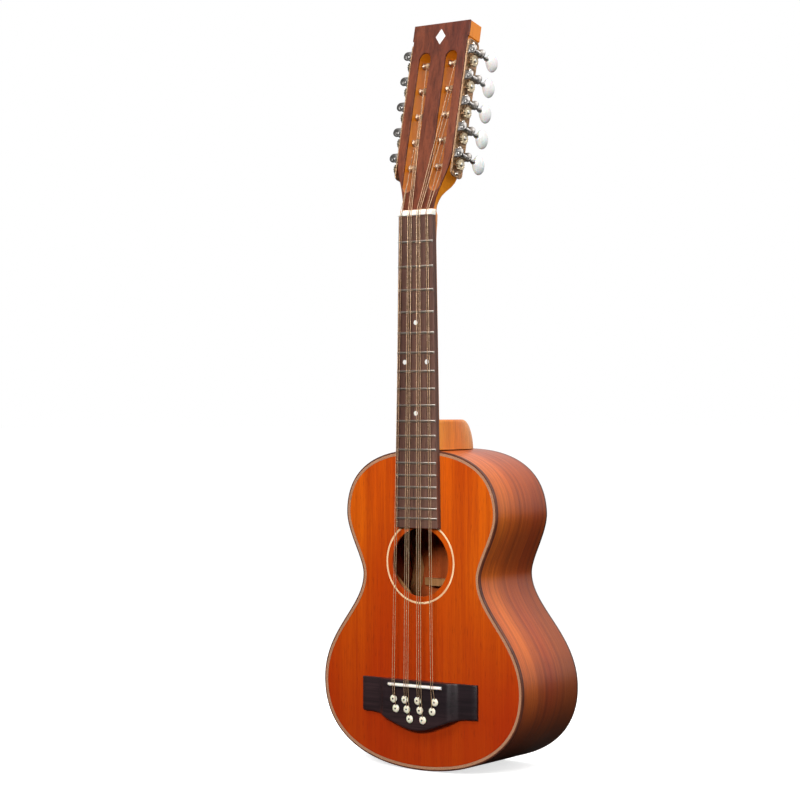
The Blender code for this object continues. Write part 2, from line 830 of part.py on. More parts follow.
def tuner_key(i):
    """Worm shaft with its oval button; it turns about the headstock's depth direction."""
    side, k = tuner_of(i)
    rings = (
        (1.4, SHAFT_R, SHAFT_R),
        (4.6, SHAFT_R, SHAFT_R),
        (4.7, WORM_R, WORM_R),
        (15.0, WORM_R, WORM_R),
        (15.1, SHAFT_R, SHAFT_R),
        (17.6, SHAFT_R, SHAFT_R),
        (17.7, 2.5, 2.5),
        (19.6, 2.5, 2.5),
        (19.7, SHAFT_R, SHAFT_R),
        (BUTTON_T - 0.1, SHAFT_R, SHAFT_R),
        (BUTTON_T, 2.2, 2.6),
        (BUTTON_T + 2.2, 3.2, 6.6),
        (BUTTON_T + 6.4, 3.8, 9.2),
        (BUTTON_T + 11.4, 3.6, 8.8),
        (BUTTON_T + 14.8, 2.4, 5.6),
        (BUTTON_T + 16.0, 0.8, 1.8),
    )
    key = turned("tuner_key_%d" % (i + 1), rings, colour("key_%d_mat" % (i + 1), (0.85, 0.85, 0.82), 0.2))
    x, y, z = head_point(side * WORM_X, post_height(k) + WORM_RISE, 0.0)
    key.location = (x * MM, y * MM, z * MM)
    key.rotation_euler = (-math.pi * 0.5 - TILT, 0.0, 0.0)


def head_block(name, x_low, x_high, s_low, s_high, t_low, t_high, material):
    """Block lined up with the tilted headstock."""
    rings = []
    for x in (x_low, x_high):
        rings.append([
            head_point(x, s_low, t_low),
            head_point(x, s_high, t_low),
            head_point(x, s_high, t_high),
            head_point(x, s_low, t_high),
        ])
    return loft(name, rings, material)


def tuner_plate(name, side):
    """Long side plate with bent ears that carry the worm shafts."""
    material = colour(name + "_mat", (0.5, 0.45, 0.36), 0.45, 1.0)
    x0, x1 = sorted((side * PLATE_X[0], side * PLATE_X[1]))
    plate = head_block(name, x0, x1, PLATE_LOW, PLATE_HIGH, PLATE_T[0], PLATE_T[1], material)
    verts = []
    faces = []
    for k in range(TUNERS_PER_SIDE):
        centre = post_height(k) + WORM_RISE + EAR_LIFT
        for t_low, t_high in (EAR_FRONT, EAR_REAR):
            base = len(verts)
            for t in (t_low, t_high):
                root = PLATE_X[1] - FIT
                bend = EAR_OUT - EAR_CORNER
                shape = (
                    (root, centre - EAR_HALF),
                    (bend, centre - EAR_HALF),
                    (EAR_OUT, centre - EAR_HALF + EAR_CORNER),
                    (EAR_OUT, centre + EAR_HALF - EAR_CORNER),
                    (bend, centre + EAR_HALF),
                    (root, centre + EAR_HALF),
                )
                for x, s in shape:
                    verts.append(head_point(side * x, s, t))
            for j in range(6):
                m = (j + 1) % 6
                faces.append((base + j, base + m, base + 6 + m, base + 6 + j))
            faces.append(tuple(range(base, base + 6)))
            faces.append(tuple(range(base + 6, base + 12)))
    ears = make_object(name + "_ear_tool", verts, faces, material)
    combine(plate, ears, "UNION")
    shafts = []
    posts = []
    for k in range(TUNERS_PER_SIDE):
        rise = post_height(k) + WORM_RISE
        shafts.append((
            head_point(side * WORM_X, rise, PLATE_T[0] - 4.0),
            head_point(side * WORM_X, rise, PLATE_T[1] + 4.0),
            SHAFT_HOLE_R,
        ))
        posts.append((
            head_point(side * (PLATE_X[0] - 2.0), post_height(k), POST_T),
            head_point(side * (PLATE_X[1] + 2.0), post_height(k), POST_T),
            POST_HOLE_R,
        ))
    combine(plate, cylinder_set(name + "_shaft_tool", shafts, 12, material), "DIFFERENCE")
    combine(plate, cylinder_set(name + "_post_tool", posts, 12, material), "DIFFERENCE")


def clear_scene():
    """Start from an empty file."""
    for obj in list(bpy.data.objects):
        bpy.data.objects.remove(obj, do_unlink=True)


def build():
    """Make every sub-part."""
    clear_scene()
    soundboard()
    back_plate()
    binding("binding_front", BIND_FRONT, True)
    binding("binding_back", BIND_BACK, False)
    rib("side_left", -1.0)
    rib("side_right", 1.0)
    lining("lining_front", True)
    lining("lining_back", False)
    tail_block()
    top_bracing()
    back_bracing()
    bridge()
    saddle()
    bridge_plate()
    neck()
    headstock_veneer()
    fretboard()
    nut()
    tuner_plate("tuner_plate_left", -1.0)
    tuner_plate("tuner_plate_right", 1.0)
    for i in range(STRINGS):
        bridge_pin(i)
        string(i)
        string_post(i)
        tuner_key(i)


build()
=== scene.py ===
from math import copysign, cos, exp, hypot, pi, radians, sin, sqrt, tau

import bmesh
import bpy
from mathutils import Matrix, Vector


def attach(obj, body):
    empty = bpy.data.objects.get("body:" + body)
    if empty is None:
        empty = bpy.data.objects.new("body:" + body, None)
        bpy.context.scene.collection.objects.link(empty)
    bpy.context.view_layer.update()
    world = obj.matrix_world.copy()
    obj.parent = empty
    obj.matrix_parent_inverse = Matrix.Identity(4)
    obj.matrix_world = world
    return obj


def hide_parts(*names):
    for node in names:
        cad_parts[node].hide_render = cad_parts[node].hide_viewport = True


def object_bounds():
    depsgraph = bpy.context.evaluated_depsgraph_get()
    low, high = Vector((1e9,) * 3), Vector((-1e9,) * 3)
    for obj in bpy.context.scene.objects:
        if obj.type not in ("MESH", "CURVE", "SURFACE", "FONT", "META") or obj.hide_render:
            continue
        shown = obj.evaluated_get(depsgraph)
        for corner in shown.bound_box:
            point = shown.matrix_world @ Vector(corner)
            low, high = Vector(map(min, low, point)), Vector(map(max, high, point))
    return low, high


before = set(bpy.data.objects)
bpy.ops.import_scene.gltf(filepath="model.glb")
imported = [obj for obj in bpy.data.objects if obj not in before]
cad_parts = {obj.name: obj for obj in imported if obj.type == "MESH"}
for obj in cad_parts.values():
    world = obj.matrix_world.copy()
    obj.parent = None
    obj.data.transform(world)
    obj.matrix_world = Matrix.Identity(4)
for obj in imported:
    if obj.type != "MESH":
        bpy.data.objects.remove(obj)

# Looks of a ten-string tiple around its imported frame. Lengths below are millimetres.
# X to the viewer's right, +Y to the back, +Z up the neck; Z = 0 is the joint of nut and fingerboard.
CAD_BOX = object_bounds()
MM = 0.001
SIDES = ((-1.0, "left"), (1.0, "right"))
WHITE = (1.0, 1.0, 1.0, 1.0)
BLACK = (0.0, 0.0, 0.0, 1.0)

# strings
SCALE_LENGTH = 431.8
STRINGS = 10
NUT_COURSES = (-14.6, -4.9, 4.9, 14.6)
SADDLE_COURSES = (-21.75, -7.25, 7.25, 21.75)
COURSE_SIZES = (2, 3, 3, 2)
NUT_PITCH = 1.9
SADDLE_PITCH = 2.3
PLAIN_R = 0.25
WOUND_R = 0.36
WOUND_STRINGS = (2, 4, 7, 9)
NUT_STRING_Y = -8.25
SADDLE_STRING_Y = -13.0
POST_LANES = (18.4, 17.4, 16.6, 16.3, 16.4)

# fingerboard and nut
NUT_WIDTH = 38.0
BOARD_END = 287.7
BOARD_END_WIDTH = 47.3
BOARD_TOP = -6.0
BOARD_LOW = -0.3
FRETS = 18
FRET_HEIGHT = 1.0
FRET_HALF = 1.1
NUT_THICK = 5.2
NUT_TOP = -7.8
DOT_R = 2.2

# body outline, right half: widest, narrowest and end points with their handle lengths
TOP_Z = -215.8
UPPER_HALF = 84.7
UPPER_Z = -275.0
WAIST_HALF = 65.6
WAIST_Z = -332.5
LOWER_HALF = 111.8
LOWER_Z = -433.8
TAIL_Z = -511.5
SHOULDER_PULL = 55.0
UPPER_PULL = 38.0
UPPER_TO_WAIST = 19.0
WAIST_TO_UPPER = 14.0
WAIST_TO_LOWER = 32.0
LOWER_TO_WAIST = 47.0
LOWER_PULL = 53.0
TAIL_PULL = 62.0
OUTLINE_STEPS = (36, 22, 28, 36)

# body depth, shells and edges
DEPTH_UPPER = 86.0
DEPTH_SLOPE = 0.06
TOP_THICK = 2.6
BACK_THICK = 2.6
RIB_THICK = 2.2
BINDING_WIDE = 1.5
PURFLING_WIDE = 2.5
BACK_BINDING_WIDE = 3.0
RIB_START = 8.0
RIB_GAP = 0.15
SHELL_GAP = 0.2

# sound hole, bridge, saddle and pins
HOLE_Z = -319.8
HOLE_R = 31.5
ROSETTE_R = 38.4
ROSETTE_WIDE = 1.8
BRIDGE_HALF = 64.2
BRIDGE_TOP_Z = -428.5
BRIDGE_LOW_Z = -460.4
BELLY_DROP = 13.6
BELLY_HALF = 56.0
BRIDGE_HIGH = 9.0
WING_HIGH = 3.8
CUTTER_Y = -BRIDGE_HIGH - 4.0
CROWN_HALF = 34.0
SCOOP_LENGTH = 12.0
SADDLE_Z = -SCALE_LENGTH - 1.0
SADDLE_HALF = 29.9
SADDLE_THICK = 2.8
SADDLE_TOP = -12.55
SADDLE_LOW = -4.2
PIN_ROWS = (-446.0, -454.7, -463.4)
PIN_X = (-23.6, -21.0, -10.9, -8.5, -5.4, 3.6, 6.1, 9.2, 19.9, 22.8)
PIN_ROW_OF = (0, 1, 0, 1, 2, 0, 1, 2, 1, 0)
PIN_HEAD_R = 3.8
PIN_DOME = 1.5
PIN_SHANK_R = 2.15
PIN_HOLE_R = 3.45
STRING_OFFSET = 2.75

# neck, heel and the block that holds them
NECK_END_Z = -189.5
HEEL_START_Z = -188.2
HEEL_ROUND_Z = -188.0
HEEL_DEEP = 58.5
HEEL_SWELL = 21.7
HEEL_FLANK = 13.5
BLOCK_HALF = 27.5
BLOCK_LOW = -243.0
BLOCK_SHOULDER = -218.4
BLOCK_Y = (3.4, 76.5)
TENON_HALF = 7.5

# headstock, measured in its own plane: S up the face, T into the wood
TILT = radians(13.2)
FACE_Y = -4.1
HEAD_TOP = 188.9
HEAD_BOTTOM = 6.6
HEAD_THICK = 19.8
CORE_FRONT = 2.0
HEAD_HALF = 31.7
SEAT_HALF = 30.4
SEAT_TOP = 173.0
SEAT_STEP = 173.6
SQUARE_FROM = 11.0
SQUARE_OVER = 28.0
# (height, half width, depth at the sides, depth along the middle); the sides step in for the plates
HEAD_STATIONS = (
    (5.6, 17.6, 6.2, 12.6),
    (SQUARE_FROM, 17.6, 6.6, 12.8),
    (16.0, 18.4, 7.5, 13.0),
    (21.0, 19.8, 9.2, 13.4),
    (26.0, 21.4, 12.7, 15.2),
    (31.0, 23.2, 17.0, 18.2),
    (36.0, 25.1, 19.2, HEAD_THICK),
    (41.0, 26.9, 19.5, HEAD_THICK),
    (47.0, 28.6, 19.5, HEAD_THICK),
    (54.0, 29.8, 19.5, HEAD_THICK),
    (64.0, SEAT_HALF, 19.5, HEAD_THICK),
    (SEAT_TOP, SEAT_HALF, 19.5, HEAD_THICK),
    (SEAT_STEP, HEAD_HALF, 19.5, HEAD_THICK),
    (HEAD_TOP, HEAD_HALF, 19.5, HEAD_THICK),
)
SLOT_X = 15.0
SLOT_HALF = 6.7
SLOT_LOW = 23.2
SLOT_HIGH = 160.6

# tuners
TUNERS_PER_SIDE = 5
POST_FIRST = 49.6
POST_PITCH = 25.3
POST_T = 9.0
ROLLER_R = 3.2
ROLLER_WAIST = 2.55
POST_R = 2.4
POST_HOLE_R = 2.62
GEAR_TIP = 5.6
GEAR_ROOT = 4.9
GEAR_TEETH = 14
WHEEL_X = (33.9, 36.9)
WORM_RISE = 8.4
WORM_X = 36.2
WORM_TIP = 2.6
WORM_CORE = 1.75
WORM_T = (4.9, 14.9)
WORM_PITCH = tau * GEAR_TIP / GEAR_TEETH
SHAFT_R = 1.45
PLATE_X = (30.7, 31.9)
PLATE_T = (0.8, 19.0)
PLATE_CORNER = 4.5
PLATE_S = (37.8, 171.8)
SCREW_BELOW_POST = 8.2
SCREW_T = POST_T + 0.9
EAR_FRONT = (1.8, 3.4)
EAR_REAR = (15.6, 17.2)
EAR_HALF = 4.2
EAR_LIFT = 1.2
EAR_OUT = 41.6
BUTTON_T = 28.5
BUTTON_LONG = 16.0
BUTTON_WIDE = 9.2
BUTTON_THIN = 3.8

# camera
CAMERA_PLACE = (1.135, -1.600, -0.1793)
CAMERA_YAW = 35.878
CAMERA_PITCH = -0.274
CAMERA_ROLL = -0.177
CAMERA_LENS = 95.67

# what the floor gives back to everything but the camera, as if it were flagged with dark cloth
FLOOR_BOUNCE = (0.04, 0.035, 0.03, 1.0)


# ---- looks


def srgb(red, green, blue):
    """Linear colour of a screen colour given in 0 to 255."""
    def linear(level):
        share = level / 255.0
        return share / 12.92 if share <= 0.04045 else ((share + 0.055) / 1.055) ** 2.4
    return (linear(red), linear(green), linear(blue), 1.0)


# sockets of the Mix node that carry colours
FIRST_COLOUR = 6
SECOND_COLOUR = 7
MIXED_COLOUR = 2


class Web:
    """Short names for working on one node tree."""

    def __init__(self, tree):
        self.tree = tree

    def feed(self, socket, value):
        if isinstance(value, bpy.types.NodeSocket):
            self.tree.links.new(value, socket)
        else:
            socket.default_value = value

    def add(self, kind, *inputs, **settings):
        """New node with its settings and its (socket, value) inputs."""
        node = self.tree.nodes.new(kind)
        for label, value in settings.items():
            setattr(node, label, value)
        for socket, value in inputs:
            self.feed(node.inputs[socket], value)
        return node

    def span(self, value, low, high, out_low=0.0, out_high=1.0):
        """Value from low..high spread over out_low..out_high, clamped."""
        ends = zip(("From Min", "From Max", "To Min", "To Max"), (low, high, out_low, out_high))
        return self.add("ShaderNodeMapRange", ("Value", value), *ends).outputs["Result"]


class Look(Web):
    """One procedural material."""

    def __init__(self, name, **sockets):
        self.material = bpy.data.materials.new(name)
        self.material.use_nodes = True
        super().__init__(self.material.node_tree)
        self.shader = self.tree.nodes["Principled BSDF"]
        for label, value in sockets.items():
            self.shader.inputs[label.replace("_", " ")].default_value = value

    def place(self, source, scale, turn=(0.0, 0.0, 0.0)):
        """Coordinates in metres, of the object or of a point attribute, times a scale."""
        if source == "object":
            where = self.add("ShaderNodeTexCoord").outputs["Object"]
        else:
            where = self.add("ShaderNodeAttribute", attribute_name=source).outputs["Vector"]
        if isinstance(scale, float):
            scale = (scale, scale, scale)
        inputs = (("Vector", where), ("Scale", scale), ("Rotation", turn))
        return self.add("ShaderNodeMapping", *inputs).outputs["Vector"]

    def noise(self, where, detail=3.0, rough=0.5, warp=0.0):
        inputs = [("Vector", where), ("Scale", 1.0), ("Detail", detail)]
        inputs += [("Roughness", rough), ("Distortion", warp)]
        return self.add("ShaderNodeTexNoise", *inputs).outputs["Fac"]

    def stripes(self, where, warp=0.0):
        inputs = (("Vector", where), ("Scale", 1.0), ("Distortion", warp))
        return self.add("ShaderNodeTexWave", *inputs, wave_type="BANDS", bands_direction="X").outputs["Fac"]

    def maths(self, operation, first, second):
        return self.add("ShaderNodeMath", (0, first), (1, second), operation=operation).outputs["Value"]

    def mix(self, share, first, second):
        inputs = (("Factor", share), (FIRST_COLOUR, first), (SECOND_COLOUR, second))
        return self.add("ShaderNodeMix", *inputs, data_type="RGBA").outputs[MIXED_COLOUR]

    def colour(self, value):
        self.feed(self.shader.inputs["Base Color"], value)

    def roughness(self, value, low, high):
        self.feed(self.shader.inputs["Roughness"], self.span(value, 0.25, 0.75, low, high))

    def relief(self, height, depth):
        """Fine surface relief, depth in millimetres."""
        bump = self.add("ShaderNodeBump", ("Height", height), ("Distance", depth * MM))
        self.feed(self.shader.inputs["Normal"], bump.outputs["Normal"])


def wood(name, source, axis, pale, mid, dark, ribbon=0.4, pores=0.5, band=110.0, rough=(0.28, 0.42),
         coat=0.5, relief=0.05, haze=0.12, stains_and_painted_shade=()):
    """Wood under varnish: slow drift, ribbon figure, fibres and pores, drawn out along one axis.
    Each band of real staining or painted shade is (colour, share, object axis, place where it begins, place
    where it is full)."""
    look = Look(name, Coat_Weight=coat, Coat_Roughness=haze, Specular_IOR_Level=0.3)

    def drawn(across, lengthways):
        scale = [across, across, across]
        scale[axis] = lengthways
        return look.place(source, scale)

    drift = look.noise(drawn(16.0, 4.0), 2.0)
    bands = look.noise(drawn(band, 2.2), 3.0, 0.6, 0.4)
    fibre = look.noise(drawn(850.0, 16.0), 4.0, 0.65)
    pore = look.noise(drawn(1900.0, 75.0), 2.0)
    tone = look.mix(look.span(drift, 0.35, 0.65), pale, mid)
    tone = look.mix(look.span(bands, 0.42, 0.72, 0.0, ribbon), tone, dark)
    tone = look.mix(look.span(fibre, 0.45, 0.75, 0.0, 0.45), tone, dark)
    # the entries lay real staining and painted shade over the wood tone
    for overlay_colour, share, along, start, full in stains_and_painted_shade:
        spot = look.add("ShaderNodeSeparateXYZ", ("Vector", look.place("object", 1.0)))
        tone = look.mix(look.span(spot.outputs[along], start, full, 0.0, share), tone, overlay_colour)
    deep = [level * 0.35 for level in dark[:3]] + [1.0]
    pits = look.span(pore, 0.60, 0.72, 0.0, pores)
    look.colour(look.mix(pits, tone, deep))
    look.roughness(fibre, *rough)
    look.relief(look.maths("SUBTRACT", fibre, pits), relief)
    return look.material


def worn_metal(name, pale, dark, rough=(0.22, 0.45), tarnish=0.5, relief=0.02):
    """Plated metal with cloudy tarnish and fine hand wear."""
    look = Look(name, Metallic=1.0)
    cloud = look.noise(look.place("object", 260.0), 4.0, 0.6, 0.6)
    grit = look.noise(look.place("object", 2600.0), 3.0, 0.6)
    tone = look.mix(look.span(cloud, 0.42, 0.68, 0.0, tarnish), pale, dark)
    look.colour(look.mix(look.span(grit, 0.5, 0.8, 0.0, 0.3), tone, dark))
    look.roughness(cloud, *rough)
    look.relief(grit, relief)
    return look.material


def chased_metal(name):
    """Plated brass with a scrolled, chased surface."""
    look = Look(name, Metallic=1.0)
    pale = srgb(218, 178, 140)
    dark = srgb(92, 64, 44)
    curl = look.stripes(look.place("object", 620.0, (0.6, 0.3, 0.0)), 7.0)
    cloud = look.noise(look.place("object", 300.0), 4.0, 0.6)
    grit = look.noise(look.place("object", 2400.0), 2.0)
    tone = look.mix(look.span(curl, 0.05, 0.45, 0.75, 0.0), pale, dark)
    tone = look.mix(look.span(cloud, 0.45, 0.7, 0.0, 0.45), tone, dark)
    look.colour(tone)
    look.roughness(cloud, 0.26, 0.5)
    look.relief(look.maths("ADD", curl, look.span(grit, 0.0, 1.0, 0.0, 0.15)), 0.18)
    return look.material


def pearl(name, tint, blush, shade, glow=0.25):
    """Pearly plastic or shell: drifting pale colours over a soft, slightly lit body."""
    look = Look(name, Coat_Weight=0.6, Coat_Roughness=0.08, Subsurface_Weight=glow, Subsurface_Scale=0.004)
    swirl = look.noise(look.place("object", (210.0, 210.0, 110.0)), 3.0, 0.55, 1.6)
    flame = look.stripes(look.place("object", (340.0, 300.0, 160.0), (0.4, 0.2, 0.5)), 5.0)
    tone = look.mix(look.span(swirl, 0.35, 0.65), tint, blush)
    look.colour(look.mix(look.span(flame, 0.2, 0.9, 0.0, 0.4), tone, shade))
    look.roughness(swirl, 0.16, 0.3)
    look.relief(flame, 0.01)
    return look.material


def bone(name, pale, overlay_colour, rough=(0.28, 0.42)):
    """Bone or ivory-like plastic with faint streaks and grime."""
    look = Look(name, Subsurface_Weight=0.12, Subsurface_Scale=0.003, Coat_Weight=0.2, Coat_Roughness=0.2)
    streak = look.noise(look.place("object", (120.0, 1500.0, 1500.0)), 3.0, 0.6)
    cloud = look.noise(look.place("object", 260.0), 3.0)
    tone = look.mix(look.span(cloud, 0.4, 0.7, 0.0, 0.4), pale, overlay_colour)
    look.colour(look.mix(look.span(streak, 0.5, 0.75, 0.0, 0.35), tone, overlay_colour))
    look.roughness(cloud, *rough)
    look.relief(streak, 0.015)
    return look.material


def rope_strip(name):
    """Purfling strip of slanted light and dark wood chips."""
    look = Look(name, Coat_Weight=0.4, Coat_Roughness=0.12)
    chips = look.stripes(look.place("grain", (520.0, 520.0, 0.0), (0.0, 0.0, 0.8)), 0.4)
    cloud = look.noise(look.place("grain", (160.0, 900.0, 900.0)), 3.0, 0.6)
    tone = look.mix(look.span(chips, 0.35, 0.65), srgb(212, 160, 122), srgb(128, 84, 62))
    look.colour(look.mix(look.span(cloud, 0.4, 0.75, 0.0, 0.5), tone, srgb(176, 122, 92)))
    look.roughness(cloud, 0.35, 0.5)
    look.relief(chips, 0.03)
    return look.material


def edge_strip(name, pale, dark):
    """Thin bent edging with fine lengthways fibre."""
    look = Look(name, Specular_IOR_Level=0.3)
    fibre = look.noise(look.place("grain", (30.0, 2200.0, 2200.0)), 3.0, 0.6)
    cloud = look.noise(look.place("grain", (45.0, 200.0, 200.0)), 3.0, 0.6)
    tone = look.mix(look.span(cloud, 0.35, 0.7), pale, dark)
    look.colour(look.mix(look.span(fibre, 0.45, 0.75, 0.0, 0.4), tone, dark))
    look.roughness(fibre, 0.3, 0.45)
    look.relief(fibre, 0.03)
    return look.material


def wire(name, pale, dark, windings):
    """String wire, plain or close-wound."""
    look = Look(name, Metallic=0.4)
    cloud = look.noise(look.place("grain", (90.0, 10.0, 10.0)), 3.0, 0.6)
    tone = look.mix(look.span(cloud, 0.35, 0.7), pale, dark)
    if windings:
        turns = look.stripes(look.place("grain", (900.0, 0.0, 0.0)))
        tone = look.mix(look.span(turns, 0.0, 0.5, 0.5, 0.0), tone, dark)
        look.relief(turns, 0.08)
    look.colour(tone)
    look.roughness(cloud, 0.2, 0.36)
    return look.material


def floor_pale():
    """Pale floor that turns into plain white far out."""
    look = Look("floor_pale", Roughness=0.8, Specular_IOR_Level=0.1)
    grain = look.noise(look.place("object", 40.0), 3.0)
    pale = look.mix(look.span(grain, 0.3, 0.7), srgb(247, 246, 244), srgb(242, 241, 239))
    level = look.place("object", (1.0, 1.0, 0.0))
    distance = look.add("ShaderNodeVectorMath", (0, level), operation="LENGTH")
    far = look.span(distance.outputs["Value"], 0.3, 1.3)
    seen = look.add("ShaderNodeLightPath").outputs["Is Camera Ray"]
    look.colour(look.mix(far, look.mix(seen, FLOOR_BOUNCE, pale), BLACK))
    look.shader.inputs["Emission Color"].default_value = WHITE
    glow = look.span(far, 0.0, 1.0, 0.7, 1.0)
    look.feed(look.shader.inputs["Emission Strength"], look.maths("MULTIPLY", glow, seen))
    return look.material


def make_looks():
    """Every material by a short name."""
    return {
        "top": wood("top_mahogany", "object", 2, srgb(228, 106, 8), srgb(206, 78, 4), srgb(140, 38, 2),
                    ribbon=0.45, pores=0.6, band=130.0, rough=(0.28, 0.4), coat=0.15, haze=0.2,
                    # painted shade: the soundboard turns darker and redder towards the tail
                    stains_and_painted_shade=[(srgb(156, 30, 1), 0.72, "Z", -0.22, -0.46)]),
        "side": wood("side_mahogany", "grain", 0, srgb(214, 108, 30), srgb(178, 70, 20), srgb(92, 28, 9),
                     ribbon=0.6, pores=0.5, band=200.0, rough=(0.34, 0.48), coat=0.2, haze=0.3,
                     # painted shade: the sides darken towards the back edge, and more strongly near the tail
                     stains_and_painted_shade=[(srgb(92, 26, 12), 0.65, "Y", 0.02, 0.1),
                             (srgb(50, 14, 9), 0.8, "Z", -0.40, -0.5)]),
        "back": wood("back_mahogany", "object", 2, srgb(200, 104, 50), srgb(176, 78, 38), srgb(104, 36, 18),
                     ribbon=0.5, pores=0.45, band=110.0, rough=(0.24, 0.36), coat=0.3),
        "neck": wood("neck_mahogany", "object", 2, srgb(242, 152, 40), srgb(226, 122, 26), srgb(150, 62, 12),
                     ribbon=0.3, pores=0.5, band=90.0, rough=(0.3, 0.45), coat=0.15,
                     stains_and_painted_shade=[(srgb(226, 132, 4), 0.6, "Z", 0.0, 0.04)]),
        "veneer": wood("head_veneer", "object", 2, srgb(128, 68, 44), srgb(104, 48, 33), srgb(48, 20, 15),
                       ribbon=0.7, pores=0.5, band=190.0, rough=(0.28, 0.42), coat=0.15),
        "board": wood("fingerboard_rosewood", "object", 2,
                      srgb(118, 84, 70), srgb(92, 62, 52), srgb(48, 28, 24),
                      ribbon=0.65, pores=0.8, band=300.0, rough=(0.45, 0.62), coat=0.0, relief=0.08),
        "bridge": wood("bridge_rosewood", "object", 0, srgb(60, 42, 44), srgb(36, 27, 31), srgb(13, 9, 11),
                       ribbon=0.7, pores=0.6, band=420.0, rough=(0.3, 0.45), coat=0.2, relief=0.06),
        "inner": wood("inner_wood", "object", 2, srgb(214, 160, 104), srgb(190, 132, 80), srgb(130, 80, 44),
                      ribbon=0.3, pores=0.4, band=120.0, rough=(0.5, 0.65), coat=0.0, relief=0.1),
        "dark_edge": edge_strip("binding_dark", srgb(104, 56, 38), srgb(66, 32, 22)),
        "rope": rope_strip("purfling_rope"),
        "ring": edge_strip("rosette_cream", srgb(252, 220, 176), srgb(224, 176, 130)),
        "bone": bone("bone_white", srgb(250, 247, 238), srgb(226, 216, 196)),
        "pin": bone("pin_cream", srgb(248, 240, 218), srgb(224, 206, 172), (0.2, 0.32)),
        "dot": pearl("pin_dot_dark", srgb(46, 40, 40), srgb(66, 58, 60), srgb(24, 22, 24), 0.0),
        "inlay": pearl("inlay_pearl", srgb(238, 234, 226), srgb(222, 232, 226), srgb(236, 210, 214), 0.1),
        "button": pearl("button_pearl", srgb(240, 240, 236), srgb(232, 235, 234), srgb(214, 212, 210)),
        "fret": worn_metal("fret_silver", srgb(224, 216, 206), srgb(160, 148, 136), (0.25, 0.4), 0.3),
        "plate": chased_metal("plate_champagne"),
        "gear": worn_metal("gear_brass", srgb(222, 204, 172), srgb(120, 100, 76), (0.2, 0.4), 0.45),
        "screw": worn_metal("screw_nickel", srgb(240, 236, 226), srgb(170, 160, 146), (0.14, 0.3), 0.3),
        "roller": worn_metal("roller_nickel", srgb(196, 172, 150), srgb(120, 98, 80), (0.34, 0.5), 0.4),
        "worm": worn_metal("worm_steel", srgb(176, 172, 168), srgb(92, 86, 82), (0.22, 0.4), 0.5),
        "ear": worn_metal("ear_steel", srgb(168, 164, 160), srgb(104, 98, 94), (0.25, 0.4), 0.5),
        "plain": wire("wire_plain", srgb(226, 190, 148), srgb(180, 150, 120), False),
        "wound": wire("wire_wound", srgb(206, 168, 128), srgb(130, 100, 76), True),
        "floor": floor_pale(),
    }


LOOKS = make_looks()


# ---- mesh work


def smooth(share):
    """Eases a share between 0 and 1."""
    return share * share * (3.0 - 2.0 * share)


def head_point(x, s, t):
    """Point of the tilted headstock in row axes."""
    y = FACE_Y + s * sin(TILT) + t * cos(TILT)
    z = s * cos(TILT) - t * sin(TILT)
    return (x, y, z)


def new_object(name, data):
    """Object with its data, linked to the scene."""
    obj = bpy.data.objects.new(name, data)
    bpy.context.scene.collection.objects.link(obj)
    return obj


def smooth_shade(mesh, crease):
    """Smooth shading except at edges sharper than the crease angle."""
    mesh.shade_smooth()
    mesh.set_sharp_from_angle(angle=radians(crease))


def add_piece(name, shape, look, grain=None, crease=38.0):
    """Mesh object from millimetre (points, faces), merged, turned outwards and shaded."""
    verts, faces = shape
    mesh = bpy.data.meshes.new(name)
    mesh.from_pydata([Vector(v) * MM for v in verts], [], faces)
    if grain is not None:
        layer = mesh.attributes.new("grain", "FLOAT_VECTOR", "POINT")
        layer.data.foreach_set("vector", [part * MM for point in grain for part in point])
    shell = bmesh.new()
    shell.from_mesh(mesh)
    bmesh.ops.remove_doubles(shell, verts=shell.verts, dist=0.002 * MM)
    bmesh.ops.recalc_face_normals(shell, faces=shell.faces)
    shell.to_mesh(mesh)
    shell.free()
    smooth_shade(mesh, crease)
    mesh.materials.append(LOOKS[look])
    return new_object(name, mesh)


def settle(obj, nodes=(), body="instrument"):
    """Put a finished piece on its body and the solids it stands for."""
    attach(obj, body)
    if nodes:
        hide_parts(*nodes)


def skin(rings, closed_path=False):
    """Points and faces over rings with equal point counts; open paths get end caps."""
    count = len(rings[0])
    verts = [point for ring in rings for point in ring]
    faces = []
    spans = len(rings) if closed_path else len(rings) - 1
    for i in range(spans):
        low = i * count
        high = ((i + 1) % len(rings)) * count
        for j in range(count):
            k = (j + 1) % count
            faces.append((low + j, low + k, high + k, high + j))
    if not closed_path:
        faces.append(tuple(range(count)))
        faces.append(tuple(range((len(rings) - 1) * count, len(rings) * count)))
    return verts, faces


def gather(shapes):
    """Several (points, faces) shapes as one."""
    verts = []
    faces = []
    for points, sides in shapes:
        base = len(verts)
        verts += points
        faces += [tuple(base + index for index in side) for side in sides]
    return verts, faces


def evaluated_copy(obj):
    """Mesh of an object as its modifiers or curve settings shape it."""
    bpy.context.view_layer.update()
    graph = bpy.context.evaluated_depsgraph_get()
    return bpy.data.meshes.new_from_object(obj.evaluated_get(graph))


